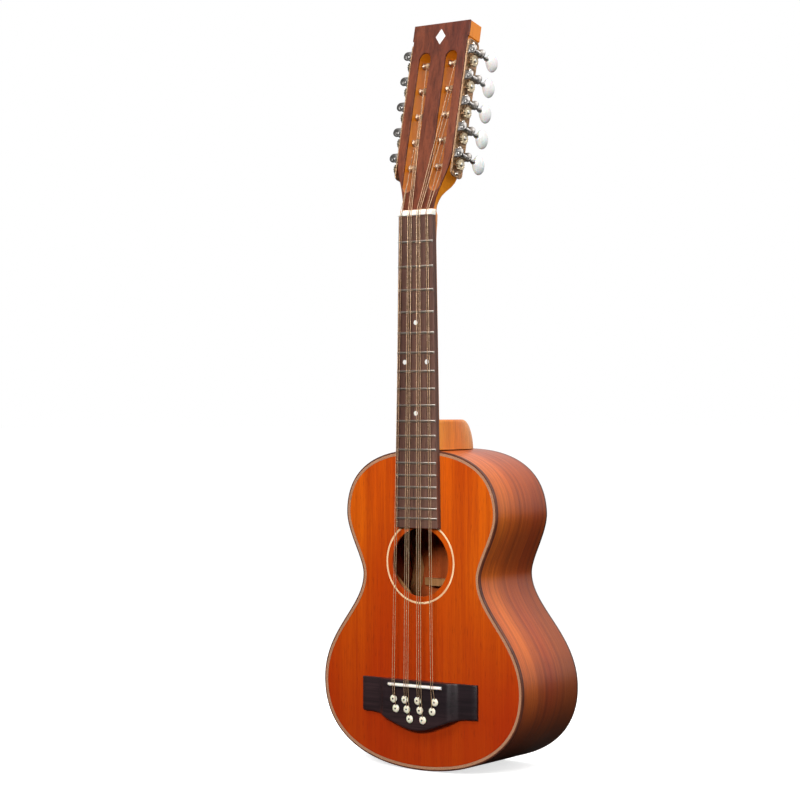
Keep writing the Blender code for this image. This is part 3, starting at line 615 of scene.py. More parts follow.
def plate_shape(loops, low, high, edge, place):
    """Flat plate with rounded rims from closed loops, the outer one first; place maps (u, v, depth)."""
    curve = bpy.data.curves.new("plate_curve", "CURVE")
    curve.dimensions = "2D"
    curve.fill_mode = "BOTH"
    curve.extrude = (high - low) * 0.5 - edge
    curve.bevel_depth = edge
    curve.bevel_resolution = 2
    curve.offset = -edge
    for loop in loops:
        spline = curve.splines.new("POLY")
        spline.points.add(len(loop) - 1)
        for point, (u, v) in zip(spline.points, loop):
            point.co = (u, v, 0.0, 1.0)
        spline.use_cyclic_u = True
    holder = new_object("plate_holder", curve)
    mesh = evaluated_copy(holder)
    middle = (low + high) * 0.5
    verts = [Vector(place(v.co.x, v.co.y, v.co.z + middle)) for v in mesh.vertices]
    faces = [tuple(face.vertices) for face in mesh.polygons]
    bpy.data.objects.remove(holder)
    bpy.data.meshes.remove(mesh)
    return verts, faces


def weigh_normals(obj):
    """Let large flat faces keep flat shading next to their rounded rims."""
    obj.modifiers.new("flat_faces", "WEIGHTED_NORMAL").keep_sharp = True


def carve(obj, cutter):
    """Cut a (points, faces) shape out of an object and keep the result as its mesh."""
    tool = add_piece("cutter", cutter, "inner")
    cut = obj.modifiers.new("cut", "BOOLEAN")
    cut.operation = "DIFFERENCE"
    cut.solver = "EXACT"
    cut.object = tool
    mesh = evaluated_copy(obj)
    obj.modifiers.clear()
    obj.data = mesh
    smooth_shade(mesh, 30.0)
    bpy.data.objects.remove(tool)


def arc(start, sweep, steps):
    """(cosine, sine) pairs along an arc, both ends included."""
    angles = [start + sweep * k / steps for k in range(steps + 1)]
    return [(cos(a), sin(a)) for a in angles]


def circle(u, v, radius, steps):
    """Points round a circle."""
    return [(u + radius * c, v + radius * s) for c, s in arc(0.0, tau, steps)[:-1]]


def rod(start, end, radius):
    """Round bar between two points."""
    return tube([start, end], radius, 24)[0]


def tube(path, radius, sides=10):
    """Round wire along a path, and the grain that runs along it."""
    points = [Vector(p) for p in path]
    rings = []
    grain = []
    side = (points[1] - points[0]).orthogonal()
    run = 0.0
    for i, point in enumerate(points):
        before = points[max(i - 1, 0)]
        after = points[min(i + 1, len(points) - 1)]
        axis = (after - before).normalized()
        side = (side - axis * side.dot(axis)).normalized()
        other = axis.cross(side)
        run += (point - before).length
        rings.append([point + side * u + other * v for u, v in circle(0.0, 0.0, radius, sides)])
        grain += [(run, 0.0, 0.0)] * sides
    return skin(rings), grain


def turned(profile, sides, place):
    """Shape turned about an axis from rows (along, radius) or (along, radius u, radius v)."""
    unit = circle(0.0, 0.0, 1.0, sides)
    return skin([[place(along, u * radii[0], v * radii[-1]) for u, v in unit] for along, *radii in profile])


# ---- body outline


def bezier(a, b, c, d, steps):
    """Points of one span, without its last point."""
    points = []
    for i in range(steps):
        u = i / steps
        v = 1.0 - u
        w = (v * v * v, 3.0 * v * v * u, 3.0 * v * u * u, u * u * u)
        x = w[0] * a[0] + w[1] * b[0] + w[2] * c[0] + w[3] * d[0]
        z = w[0] * a[1] + w[1] * b[1] + w[2] * c[1] + w[3] * d[1]
        points.append((x, z))
    return points


def half_outline():
    """Right half of the body outline from the top centre to the tail centre."""
    top = (0.0, TOP_Z)
    upper = (UPPER_HALF, UPPER_Z)
    waist = (WAIST_HALF, WAIST_Z)
    lower = (LOWER_HALF, LOWER_Z)
    tail = (0.0, TAIL_Z)
    spans = (
        (top, (SHOULDER_PULL, TOP_Z), (UPPER_HALF, UPPER_Z + UPPER_PULL), upper),
        (upper, (UPPER_HALF, UPPER_Z - UPPER_TO_WAIST), (WAIST_HALF, WAIST_Z + WAIST_TO_UPPER), waist),
        (waist, (WAIST_HALF, WAIST_Z - WAIST_TO_LOWER), (LOWER_HALF, LOWER_Z + LOWER_TO_WAIST), lower),
        (lower, (LOWER_HALF, LOWER_Z - LOWER_PULL), (TAIL_PULL, TAIL_Z), tail),
    )
    points = []
    for span, steps in zip(spans, OUTLINE_STEPS):
        points += bezier(*span, steps)
    points.append(tail)
    return points


def inset_half(distance):
    """Right half outline moved inwards by a distance."""
    base = half_outline()
    mirrored = [(-base[1][0], base[1][1])] + base + [(-base[-2][0], base[-2][1])]
    moved = []
    for i in range(1, len(mirrored) - 1):
        tangent = (Vector(mirrored[i + 1]) - Vector(mirrored[i - 1])).normalized()
        moved.append((mirrored[i][0] + tangent.y * distance, mirrored[i][1] - tangent.x * distance))
    return moved


def full_ring(distance):
    """Whole outline moved inwards, starting at the top centre."""
    right = inset_half(distance)
    left = [(-x, z) for x, z in reversed(right[1:-1])]
    return right + left


def arc_lengths(points):
    """Distance run along a line of points, at each point."""
    run = [0.0]
    for a, b in zip(points, points[1:]):
        run.append(run[-1] + hypot(b[0] - a[0], b[1] - a[1]))
    return run


def back_y(z):
    """Outer face of the back plate at height z."""
    return DEPTH_UPPER + DEPTH_SLOPE * (UPPER_Z - z)


def front_place(u, v, depth):
    """Plates that lie parallel to the soundboard."""
    return (u, depth, v)


def pin_place(i):
    """Bridge pin centre (x, z) of string i, counted from 0."""
    return PIN_X[i], PIN_ROWS[PIN_ROW_OF[i]]


# ---- body pieces


def soundboard():
    """Front plate with a rounded sound hole and the pin holes."""
    loops = [full_ring(BINDING_WIDE + PURFLING_WIDE), circle(0.0, HOLE_Z, HOLE_R, 96)]
    loops += [circle(*pin_place(i), PIN_HOLE_R, 20) for i in range(STRINGS)]
    top = add_piece("top_plate", plate_shape(loops, 0.0, TOP_THICK, 0.35, front_place), "top")
    weigh_normals(top)
    settle(top, ["soundboard"])


def rosette():
    """Cream ring let into the soundboard round the sound hole."""
    steps = 128
    middle = ROSETTE_R - ROSETTE_WIDE * 0.5
    section = ((-0.5, 0.6), (-0.5, 0.0), (-0.38, -0.06), (0.38, -0.06), (0.5, 0.0), (0.5, 0.6))
    rings = []
    grain = []
    for k in range(steps):
        a = tau * k / steps
        ring = []
        for out, y in section:
            radius = middle + out * ROSETTE_WIDE
            ring.append((radius * cos(a), y, HOLE_Z + radius * sin(a)))
            grain.append((a * middle, radius, y))
        rings.append(ring)
    settle(add_piece("rosette_ring", skin(rings, True), "ring", grain))


def edge_ring(name, look, inset_out, inset_in, section, nodes=()):
    """Strip that follows the whole outline; section gives (share inwards, depth at a z) pairs."""
    outer = full_ring(inset_out)
    inner = full_ring(inset_in)
    rings = []
    grain = []
    for (ox, oz), (ix, iz), length in zip(outer, inner, arc_lengths(outer)):
        ring = []
        for share, depth in section:
            x = ox + (ix - ox) * share
            z = oz + (iz - oz) * share
            y = depth(z)
            ring.append((x, y, z))
            grain.append((length, share * (inset_in - inset_out), y))
        rings.append(ring)
    settle(add_piece(name, skin(rings, True), look, grain), nodes)


def front_section(rounding):
    """Cross-section of a strip flush with the soundboard, with its outer corner rounded."""
    low = TOP_THICK + SHELL_GAP
    section = [(0.0, lambda z: low), (0.0, lambda z: rounding)]
    if rounding:
        section.append((0.16, lambda z: rounding * 0.3))
    section += [(0.45, lambda z: 0.0), (1.0, lambda z: 0.0), (1.0, lambda z: low)]
    return section


def back_section():
    """Cross-section of the strip round the back plate, with its outer corner rounded."""
    return [
        (0.0, lambda z: back_y(z) - BACK_THICK - SHELL_GAP),
        (0.0, lambda z: back_y(z) - 0.9),
        (0.08, lambda z: back_y(z) - 0.3),
        (0.3, lambda z: back_y(z)),
        (1.0, lambda z: back_y(z)),
        (1.0, lambda z: back_y(z) - BACK_THICK - SHELL_GAP),
    ]


def edges():
    """Dark binding and rope purfling in front, plain dark binding behind."""
    edge_ring("top_binding", "dark_edge", 0.0, BINDING_WIDE, front_section(0.7), ["binding_front"])
    edge_ring("top_purfling", "rope", BINDING_WIDE, BINDING_WIDE + PURFLING_WIDE, front_section(0.0))
    edge_ring("back_edge", "dark_edge", 0.0, BACK_BINDING_WIDE, back_section(), ["binding_back"])


def side_run(distance):
    """Right half outline moved inwards, from the heel web to the tail joint."""
    run = inset_half(distance)
    first = 0
    while run[first + 1][0] <= RIB_START:
        first += 1
    a = run[first]
    b = run[first + 1]
    share = (RIB_START - a[0]) / (b[0] - a[0])
    cut = (RIB_START, a[1] + (b[1] - a[1]) * share)
    last = (RIB_GAP, run[-1][1])
    return [cut] + run[first + 1:-1] + [last]


def rib(side, hand):
    """One bent side with its grain following the bend."""
    rows = 8
    outer = side_run(0.0)
    inner = side_run(RIB_THICK)[-len(outer):]
    front = TOP_THICK + SHELL_GAP
    rings = []
    grain = []
    for (ox, oz), (ix, iz), length in zip(outer, inner, arc_lengths(outer)):
        ring = []
        for x, z, shares in ((ox, oz, range(rows + 1)), (ix, iz, range(rows, -1, -1))):
            deep = back_y(z) - BACK_THICK - SHELL_GAP
            for k in shares:
                y = front + (deep - front) * k / rows
                ring.append((side * x, y, z))
                grain.append((length, y, 0.0))
        rings.append(ring)
    settle(add_piece("rib_" + hand, skin(rings), "side", grain), ["side_" + hand])


def back_place(u, v, depth):
    """Plates that lie in the tilted back; depth is counted outwards from its inner face."""
    return (u, back_y(v) - BACK_THICK + depth, v)


def back():
    """Back plate inside its binding, with a strip over its centre joint."""
    plate = plate_shape([full_ring(BACK_BINDING_WIDE)], 0.0, BACK_THICK, 0.15, back_place)
    panel = add_piece("back_panel", plate, "back")
    weigh_normals(panel)
    settle(panel, ["back_plate"])
    half = 1.6
    high = TOP_Z - 4.0
    low = TAIL_Z + 4.0
    strip = [(-half, high), (half, high), (half, low), (-half, low)]
    shape = plate_shape([strip], BACK_THICK - 0.5, BACK_THICK + 0.04, 0.05, back_place)
    settle(add_piece("back_centre_strip", shape, "dark_edge"))


def inner_nodes():
    """Wood for the inner frame nodes that keep their shape."""
    for name in ("lining_front", "lining_back", "tail_block", "top_bracing", "back_bracing", "bridge_plate"):
        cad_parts[name].data.materials[0] = LOOKS["inner"]


# ---- bridge


def bridge_height(x):
    """Height of the bridge above the soundboard at x."""
    share = min(max(abs(x) - CROWN_HALF, 0.0) / SCOOP_LENGTH, 1.0)
    ease = (1.0 - cos(pi * share)) * 0.5
    tip = max(abs(x) - (BRIDGE_HALF - 6.0), 0.0) / 6.0
    return BRIDGE_HIGH + (WING_HIGH - BRIDGE_HIGH) * ease - 1.2 * tip * tip


def bridge_low(x):
    """Lower edge of the bridge at x, dropping in a belly at the centre."""
    share = min(abs(x) / BELLY_HALF, 1.0)
    return BRIDGE_LOW_Z - BELLY_DROP * 0.5 * (1.0 + cos(pi * share))


def bridge_ring(x):
    """Cross-section of the bridge: square front wall, rounded edges."""
    high = -bridge_height(x)
    low = bridge_low(x)
    small = 0.8
    deep = 1.6
    long = 2.4
    ring = [(x, -0.05, BRIDGE_TOP_Z)]
    ring += [(x, high + small * (1.0 - s), BRIDGE_TOP_Z - small * (1.0 - c)) for c, s in arc(0.0, tau / 4, 4)]
    ring += [(x, high + deep * (1.0 - c), low + long * (1.0 - s)) for c, s in arc(0.0, tau / 4, 6)]
    ring.append((x, -0.05, low))
    return ring


def saddle_slot():
    """Cutter for the slot that the saddle stands in."""
    reach = SADDLE_HALF + 0.1
    half = SADDLE_THICK * 0.5 + 0.06
    corners = ((-reach, -half), (reach, -half), (reach, half), (-reach, half))
    return skin([[(x, y, SADDLE_Z + z) for x, z in corners] for y in (SADDLE_LOW, CUTTER_Y)])


def bridge():
    """Pin bridge with scooped wings, saddle slot and pin holes."""
    steps = 128
    stations = [BRIDGE_HALF * (2.0 * k / steps - 1.0) for k in range(steps + 1)]
    body = add_piece("bridge_body", skin([bridge_ring(x) for x in stations]), "bridge")
    holes = [rod((x, CUTTER_Y, z), (x, 3.0, z), PIN_HOLE_R) for x, z in map(pin_place, range(STRINGS))]
    carve(body, gather(holes + [saddle_slot()]))
    settle(body, ["bridge"])


def saddle():
    """Bone saddle with a rounded crown and rounded ends."""
    steps = 40
    half = SADDLE_THICK * 0.5
    fall = 4.5
    crown = 1.3
    rings = []
    for k in range(steps + 1):
        x = SADDLE_HALF * (2.0 * k / steps - 1.0)
        end = max(abs(x) - (SADDLE_HALF - fall), 0.0) / fall
        top = SADDLE_TOP + 2.0 * end * end
        ring = [(x, SADDLE_LOW - 0.1, SADDLE_Z - half), (x, SADDLE_LOW - 0.1, SADDLE_Z + half)]
        ring += [(x, top + crown * (1.0 - s), SADDLE_Z + half * c) for c, s in arc(0.0, pi, 8)]
        rings.append(ring)
    settle(add_piece("saddle_bone", skin(rings), "bone"), ["saddle"])


def pin_profile():
    """Bridge pin from its tip to the top of its domed head: (y, radius)."""
    rows = [(10.0, 0.9), (9.4, 1.5), (8.8, 1.75), (-8.6, PIN_SHANK_R), (-9.05, PIN_SHANK_R + 0.1)]
    rows += [(-9.1, 2.7), (-9.25, 3.1), (-9.45, 3.35)]
    rows += [(-9.6 - PIN_DOME * s, max(PIN_HEAD_R * c, 0.05)) for c, s in arc(0.0, tau / 4, 8)[1:]]
    return rows


def bridge_pin(i):
    """Pin with a domed head, notched on the saddle side where its string goes down."""
    sides = 40
    x, z = pin_place(i)
    rings = []
    for y, radius in pin_profile():
        ring = []
        for k in range(sides):
            a = tau * k / sides
            off = min(a, tau - a)
            notch = exp(-(off / 0.2) ** 2)
            r = radius - max(radius - (PIN_SHANK_R - 0.05), 0.0) * notch
            ring.append((x + r * sin(a), y, z + r * cos(a)))
        rings.append(ring)
    settle(add_piece(f"pin_{i + 1}", skin(rings), "pin"), [f"bridge_pin_{i + 1}"])


def pin_dots():
    """Dark dots let into the pin heads."""
    rows = ((-10.9, 0.95), (-11.1, 0.9), (-11.17, 0.6), (-11.2, 0.05))
    shapes = []
    for x, z in map(pin_place, range(STRINGS)):
        shapes.append(turned(rows, 20, lambda y, u, v: (x + u, y, z + v)))
    settle(add_piece("pin_dots", gather(shapes), "dot"))


# ---- neck and headstock


def half_width_at(z):
    """Fingerboard half width at height z."""
    share = min(max(-z / BOARD_END, 0.0), 1.0)
    return 0.5 * (NUT_WIDTH + (BOARD_END_WIDTH - NUT_WIDTH) * share)


def heel_curve(half, deep, flank):
    """Heel cross-section (x, depth): straight flanks, a small ledge, then an oval."""
    points = [(half * 0.96 * c, flank + (deep - flank) * max(s, 0.0) ** 0.85) for c, s in arc(0.0, pi, 30)]
    return [(half, 0.0)] + points + [(-half, 0.0)]


def neck_curve(half, flank, deep, side_power, back_power):
    """Neck or headstock cross-section (x, depth): flat front, straight flanks, rounded back."""
    points = [(half, 0.0)]
    for c, s in arc(0.0, pi, 32):
        x = copysign(abs(c) ** side_power, c) * half
        points.append((x, flank + (deep - flank) * max(s, 0.0) ** back_power))
    points.append((-half, 0.0))
    return points


def head_measures(s):
    """Half width, side depth and middle depth of the headstock at height s."""
    for low, high in zip(HEAD_STATIONS, HEAD_STATIONS[1:]):
        if s <= high[0]:
            share = (s - low[0]) / (high[0] - low[0])
            return [a + (b - a) * share for a, b in zip(low[1:], high[1:])]
    return list(HEAD_STATIONS[-1][1:])


def shaft_rings():
    """Cross-sections of the neck shaft, a soft V that turns round close to the nut."""
    steps = 24
    rings = []
    for k in range(steps + 1):
        z = NECK_END_Z * (1.0 - k / steps)
        back_power = 1.0 + smooth(min(-z / 30.0, 1.0))
        curve = neck_curve(half_width_at(z) - 0.15, 0.3, 13.0 - z * 0.01, 1.0, back_power)
        rings.append([(x, y, z) for x, y in curve])
    return rings


def head_rings():
    """Cross-sections of the headstock, which grow square as they leave the neck."""
    heights = [HEAD_STATIONS[0][0], 8.0] + [SQUARE_FROM + 2.5 * k for k in range(22)]
    heights += [SEAT_TOP - 0.1, SEAT_TOP, SEAT_STEP, SEAT_STEP + 0.1, HEAD_TOP - 0.5, HEAD_TOP]
    rings = []
    for s in heights:
        half, side_deep, deep = head_measures(s)
        ease = smooth(min(max((s - SQUARE_FROM) / SQUARE_OVER, 0.0), 1.0))
        inset = 0.4 if s == HEAD_TOP else 0.0
        flank = side_deep - CORE_FRONT - 1.6 + 1.1 * ease - inset
        curve = neck_curve(half - inset, flank, deep - CORE_FRONT - inset, 1.0 - 0.88 * ease, 1.0)
        rings.append([head_point(x, s, CORE_FRONT + t) for x, t in curve])
    return rings


def neck():
    """Neck shaft and headstock in one skin, with its two slots and ten post holes cut out."""
    piece = add_piece("neck_and_head", skin(shaft_rings() + head_rings()), "neck")
    slots = []
    for side in (-1.0, 1.0):
        loop = slot_loop(side)
        slots.append(skin([[head_point(x, s, t) for x, s in loop] for t in (-4.0, HEAD_THICK + 6.0)]))
    carve(piece, gather(slots))
    holes = []
    for i in range(STRINGS):
        place = post_place(i)
        holes.append(rod(place(5.2, 0.0, 0.0), place(36.0, 0.0, 0.0), POST_HOLE_R))
    carve(piece, gather(holes))
    weigh_normals(piece)
    settle(piece, ["neck"])


def heel():
    """Heel that rises steeply behind the neck and meets the body."""
    steps = 18
    rings = []
    for k in range(steps + 1):
        share = k / steps
        z = HEEL_START_Z - (HEEL_START_Z - TOP_Z) * share ** 1.4
        reach = (z - TOP_Z) / (HEEL_ROUND_Z - TOP_Z)
        deep = HEEL_DEEP + HEEL_SWELL * sqrt(max(1.0 - reach * reach, 0.0))
        half = half_width_at(z) - 0.2 - max(1.0 - share * 6.0, 0.0) ** 2
        rings.append([(x, y, z) for x, y in heel_curve(half, deep, HEEL_FLANK)])
    settle(add_piece("heel", skin(rings), "neck", crease=40.0))


def foot_block():
    """Block inside the body that the heel is tied to."""
    right = [(BLOCK_HALF, BLOCK_LOW), (BLOCK_HALF, BLOCK_SHOULDER)]
    right += [(TENON_HALF, BLOCK_SHOULDER), (TENON_HALF, TOP_Z)]
    outline = right + [(-x, z) for x, z in reversed(right)]
    shape = plate_shape([outline], *BLOCK_Y, 0.5, front_place)
    settle(add_piece("foot_block", shape, "inner"))


def head_outline():
    """Headstock outline (x, s), anticlockwise from its lower right corner."""
    heights = [HEAD_BOTTOM] + [station[0] for station in HEAD_STATIONS[1:]]
    right = [(head_measures(s)[0], s) for s in heights]
    return right + [(-x, s) for x, s in reversed(right)]


def slot_loop(side):
    """Outline of one long slot with round ends."""
    points = []
    for centre, start in ((SLOT_HIGH - SLOT_HALF, 0.0), (SLOT_LOW + SLOT_HALF, pi)):
        points += [(side * SLOT_X + SLOT_HALF * c, centre + SLOT_HALF * s) for c, s in arc(start, pi, 16)]
    return points


def post_height(k):
    """Height along the headstock of post k, counted from the nut."""
    return POST_FIRST + POST_PITCH * k


def head_face():
    """Face veneer of the headstock, with the same two slots."""
    loops = [head_outline(), slot_loop(-1.0), slot_loop(1.0)]
    face = add_piece("head_face", plate_shape(loops, 0.0, CORE_FRONT, 0.3, head_point), "veneer")
    weigh_normals(face)
    settle(face, ["headstock_veneer"])


def head_diamond():
    """Plain pearl diamond let into the headstock face."""
    half = 5.5
    low = SLOT_HIGH + 7.0
    high = HEAD_TOP - 6.0
    middle = (low + high) * 0.5
    outline = [(0.0, low), (half, middle), (0.0, high), (-half, middle)]
    shape = plate_shape([outline], -0.05, 0.6, 0.04, head_point)
    settle(add_piece("head_diamond", shape, "inlay"))


# ---- fingerboard


def fret_z(n):
    """Distance down from the nut of fret n."""
    return -SCALE_LENGTH * (1.0 - 2.0 ** (-n / 12.0))


def fingerboard():
    """Tapered board with softened long edges."""
    edge = 0.5
    steps = 32
    rings = []
    for k in range(steps + 1):
        z = -0.2 - (BOARD_END - 0.2) * k / steps
        half = half_width_at(z)
        ring = [(half, BOARD_LOW, z)]
        ring += [(half - edge * (1.0 - c), BOARD_TOP + edge * (1.0 - s), z) for c, s in arc(0.0, tau / 4, 4)]
        ring += [(-x, y, z) for x, y, z in reversed(ring)]
        rings.append(ring)
    settle(add_piece("fingerboard", skin(rings), "board"), ["fretboard"])


def frets():
    """Crowned fret wires with bevelled ends."""
    root = BOARD_TOP + 0.3
    shapes = []
    for n in range(1, FRETS + 1):
        z = fret_z(n)
        half = half_width_at(z)
        rings = []
        for x, drop in ((-half + 0.15, 0.75), (-half + 0.9, 0.0), (half - 0.9, 0.0), (half - 0.15, 0.75)):
            high = FRET_HEIGHT - drop
            ring = [(x, root, z - FRET_HALF), (x, root, z + FRET_HALF)]
            for c, s in arc(0.0, pi, 8):
                ring.append((x, BOARD_TOP - high * max(s, 0.0) ** 0.8, z + FRET_HALF * c))
            rings.append(ring)
        shapes.append(skin(rings))
    settle(add_piece("fret_wires", gather(shapes), "fret"))


def fret_dots():
    """Pearl position dots, two at the seventh fret."""
    rows = ((0.5, DOT_R), (-0.02, DOT_R), (-0.06, DOT_R - 0.2), (-0.06, 0.3))
    shapes = []
    for n, x in ((5, 0.0), (7, -12.4), (7, 12.4), (10, 0.0)):
        z = (fret_z(n) + fret_z(n - 1)) * 0.5
        shapes.append(turned(rows, 28, lambda y, u, v: (x + u, BOARD_TOP + y, z + v)))
    settle(add_piece("fret_dots", gather(shapes), "inlay"))


def course_spots(centres, pitch):
    """Sideways place of each string, from the course centres."""
    spots = []
    for centre, size in zip(centres, COURSE_SIZES):
        for k in range(size):
            spots.append(centre + pitch * (k - (size - 1) * 0.5))
    return spots


def nut():
    """Bone nut with a rounded top and a groove under each string."""
    half = NUT_WIDTH * 0.5
    grooves = course_spots(NUT_COURSES, NUT_PITCH)
    steps = 380
    rings = []
    for k in range(steps + 1):
        x = half * (2.0 * k / steps - 1.0)
        cut = sum(exp(-((x - spot) / 0.3) ** 4) for spot in grooves) * 0.35
        end = max(abs(x) - (half - 0.8), 0.0) / 0.8
        top = NUT_TOP + min(cut, 0.35) + 0.5 * end * end
        rings.append([
            (x, BOARD_LOW, 0.0),
            (x, top + 0.5, 0.0),
            (x, top + 0.12, 0.2),
            (x, top, 0.7),
            (x, top, 2.4),
            (x, top + 0.5, 3.8),
            (x, top + 1.3, 4.9),
            (x, top + 1.9, NUT_THICK),
            (x, BOARD_LOW, NUT_THICK),
        ])
    settle(add_piece("nut_bone", skin(rings), "bone", crease=50.0), ["nut"])


# ---- strings


def tuner_of(i):
    """Side (-1 or 1) and post number of string i, both counted from 0."""
    if i < TUNERS_PER_SIDE:
        return -1.0, i
    return 1.0, STRINGS - 1 - i


def post_place(i):
    """Maps (out from the middle, s, t) round the post axis of string i."""
    side, k = tuner_of(i)
    return lambda out, s, t: head_point(side * out, post_height(k) + s, POST_T + t)


def coil_path(i, radius):
    """Turns of string i on its roller, ending where it leaves for the nut."""
    lane = POST_LANES[tuner_of(i)[1]]
    place = post_place(i)
    turns = 4.0
    steps = 112
    leave = radians(12.0)
    wind = ROLLER_WAIST + radius + 0.03
    path = []
    for n in range(steps + 1):
        left = turns * (1.0 - n / steps)
        a = leave + tau * left
        path.append(place(lane - 2.1 * radius * left, wind * sin(a), -wind * cos(a)))
    return path


def string(i):
    """One string: coil, nut groove, saddle crown and down beside its pin."""
    wound = i + 1 in WOUND_STRINGS
    radius = WOUND_R if wound else PLAIN_R
    nut_x = course_spots(NUT_COURSES, NUT_PITCH)[i]
    saddle_x = course_spots(SADDLE_COURSES, SADDLE_PITCH)[i]
    pin_x, pin_z = pin_place(i)
    path = coil_path(i, radius)
    for drop, z in ((0.9, 4.6), (0.28, 3.2), (0.0, 1.8), (-0.02, 0.5)):
        path.append((nut_x, NUT_STRING_Y + drop, z))
    for drop, z in ((0.0, 0.6), (0.02, -0.2), (0.25, -1.2)):
        path.append((saddle_x, SADDLE_STRING_Y + drop, SADDLE_Z + z))
    for y, z in ((-10.45, 1.2), (-10.15, 0.5), (-9.5, 0.1), (-8.6, 0.0), (7.5, 0.0)):
        path.append((pin_x, y, pin_z + STRING_OFFSET + z))
    shape, grain = tube(path, radius)
    piece = add_piece(f"wire_{i + 1}", shape, "wound" if wound else "plain", grain, 60.0)
    settle(piece, [f"string_{i + 1}"])


# ---- tuners


def plate_outline(inset):
    """Side plate outline (s, t) with round corners, moved inwards."""
    r = PLATE_CORNER
    low_s, high_s = PLATE_S[0] + r, PLATE_S[1] - r
    low_t, high_t = PLATE_T[0] + r, PLATE_T[1] - r
    points = []
    for n, (s, t) in enumerate(((high_s, low_t), (high_s, high_t), (low_s, high_t), (low_s, low_t))):
        corner = arc(tau / 4 * (n - 1), tau / 4, 6)
        points += [(s + (r - inset) * c, t + (r - inset) * d) for c, d in corner]
    return points


def ear_outline(centre):
    """Outline (x, s) of a bent ear, rounded at its free end."""
    root = PLATE_X[0] + 0.3
    tip = EAR_OUT - EAR_HALF
    points = [(tip + EAR_HALF * c, centre + EAR_HALF * s) for c, s in arc(-tau / 4, pi, 12)]
    return [(root, centre - EAR_HALF)] + points + [(root, centre + EAR_HALF)]


def scroll_path(side, centre_s, centre_t, direction):
    """Small spiral that lies on the plate."""
    path = []
    for k in range(26):
        a = direction * k * 0.33
        r = 0.5 + 0.1 * k
        path.append(head_point(side * (PLATE_X[1] + 0.1), centre_s + r * cos(a), centre_t + r * sin(a)))
    return path


def side_plate(side, hand):
    """Tuner side plate with a raised rim and chased scrolls, and two bent ears to each worm."""
    def lay(s, t, out):
        return head_point(side * out, s, t)

    def stand(x, s, t):
        return head_point(side * x, s, t)

    face = PLATE_X[1]
    holes = [circle(post_height(k), POST_T, POST_HOLE_R, 20) for k in range(TUNERS_PER_SIDE)]
    shapes = [plate_shape([plate_outline(0.0)] + holes, *PLATE_X, 0.25, lay)]
    shapes.append(plate_shape([plate_outline(0.1), plate_outline(1.1)], face - 0.3, face + 0.35, 0.2, lay))
    for k in range(TUNERS_PER_SIDE + 1):
        for offset, direction in ((-3.6, 1.0), (3.6, -1.0)):
            path = scroll_path(side, post_height(k) - SCREW_BELOW_POST, SCREW_T + offset, direction)
            shapes.append(tube(path, 0.32, 8)[0])
    ears = []
    for k in range(TUNERS_PER_SIDE):
        centre = post_height(k) + WORM_RISE
        hole = circle(WORM_X, centre, SHAFT_R + 0.12, 20)
        for ear_t in (EAR_FRONT, EAR_REAR):
            ears.append(plate_shape([ear_outline(centre + EAR_LIFT), hole], *ear_t, 0.3, stand))
    name = "side_plate_" + hand
    settle(add_piece(name, gather(shapes), "plate"), ["tuner_plate_" + hand])
    settle(add_piece(name + "_ears", gather(ears), "ear"))


def plate_screws(side, hand):
    """Dome screws between the tuners."""
    dome = [(PLATE_X[1] - 0.2 + 1.5 * s, max(2.1 * c, 0.05)) for c, s in arc(0.0, tau / 4, 7)]
    shapes = []
    for k in range(TUNERS_PER_SIDE + 1):
        centre = post_height(k) - SCREW_BELOW_POST
        shapes.append(turned(dome, 24, lambda out, s, t: head_point(side * out, centre + s, SCREW_T + t)))
    settle(add_piece("plate_screws_" + hand, gather(shapes), "screw"))


def roller(i):
    """Post with a waisted string roller."""
    shoulder = ROLLER_R - 0.1
    throat = ROLLER_WAIST + 0.2
    rows = [(5.6, POST_R - 0.3), (5.9, POST_R), (8.6, POST_R), (8.75, shoulder), (9.1, ROLLER_R)]
    rows += [(9.9, ROLLER_R), (10.6, throat), (11.6, ROLLER_WAIST), (19.4, ROLLER_WAIST), (20.2, throat)]
    rows += [(20.7, ROLLER_R), (21.15, ROLLER_R), (21.35, shoulder), (21.4, POST_R)]
    rows.append((WHEEL_X[0] + 0.1, POST_R))
    piece = add_piece(f"roller_{i + 1}", turned(rows, 32, post_place(i)), "roller")
    settle(piece, [f"string_post_{i + 1}"], f"post_{i + 1}")


def gear(i):
    """Fourteen-tooth gear with slanted teeth."""
    side = tuner_of(i)[0]
    place = post_place(i)
    tooth_shape = (0.0, 0.15, 0.8, 1.0, 1.0, 0.8, 0.15, 0.0)
    count = GEAR_TEETH * len(tooth_shape)
    slant = 0.032
    low, high = WHEEL_X
    levels = [(low, 0.55), (low + 0.05, 0.96), (low + 0.3, 1.0), (high - 0.3, 1.0), (high - 0.05, 0.96)]
    levels += [(high, 0.62), (high - 0.2, 0.58), (high - 0.2, 0.3)]
    rings = []
    for out, share in levels:
        ring = []
        for n in range(count):
            a = tau * n / count + slant * side * (out - WORM_X)
            tooth = GEAR_ROOT + (GEAR_TIP - GEAR_ROOT) * tooth_shape[n % len(tooth_shape)]
            radius = share * (tooth if share > 0.9 else GEAR_ROOT)
            ring.append(place(out, radius * sin(a), radius * cos(a)))
        rings.append(ring)
    wheel = add_piece(f"gear_{i + 1}", skin(rings), "gear", crease=28.0)
    settle(wheel, (), f"post_{i + 1}")


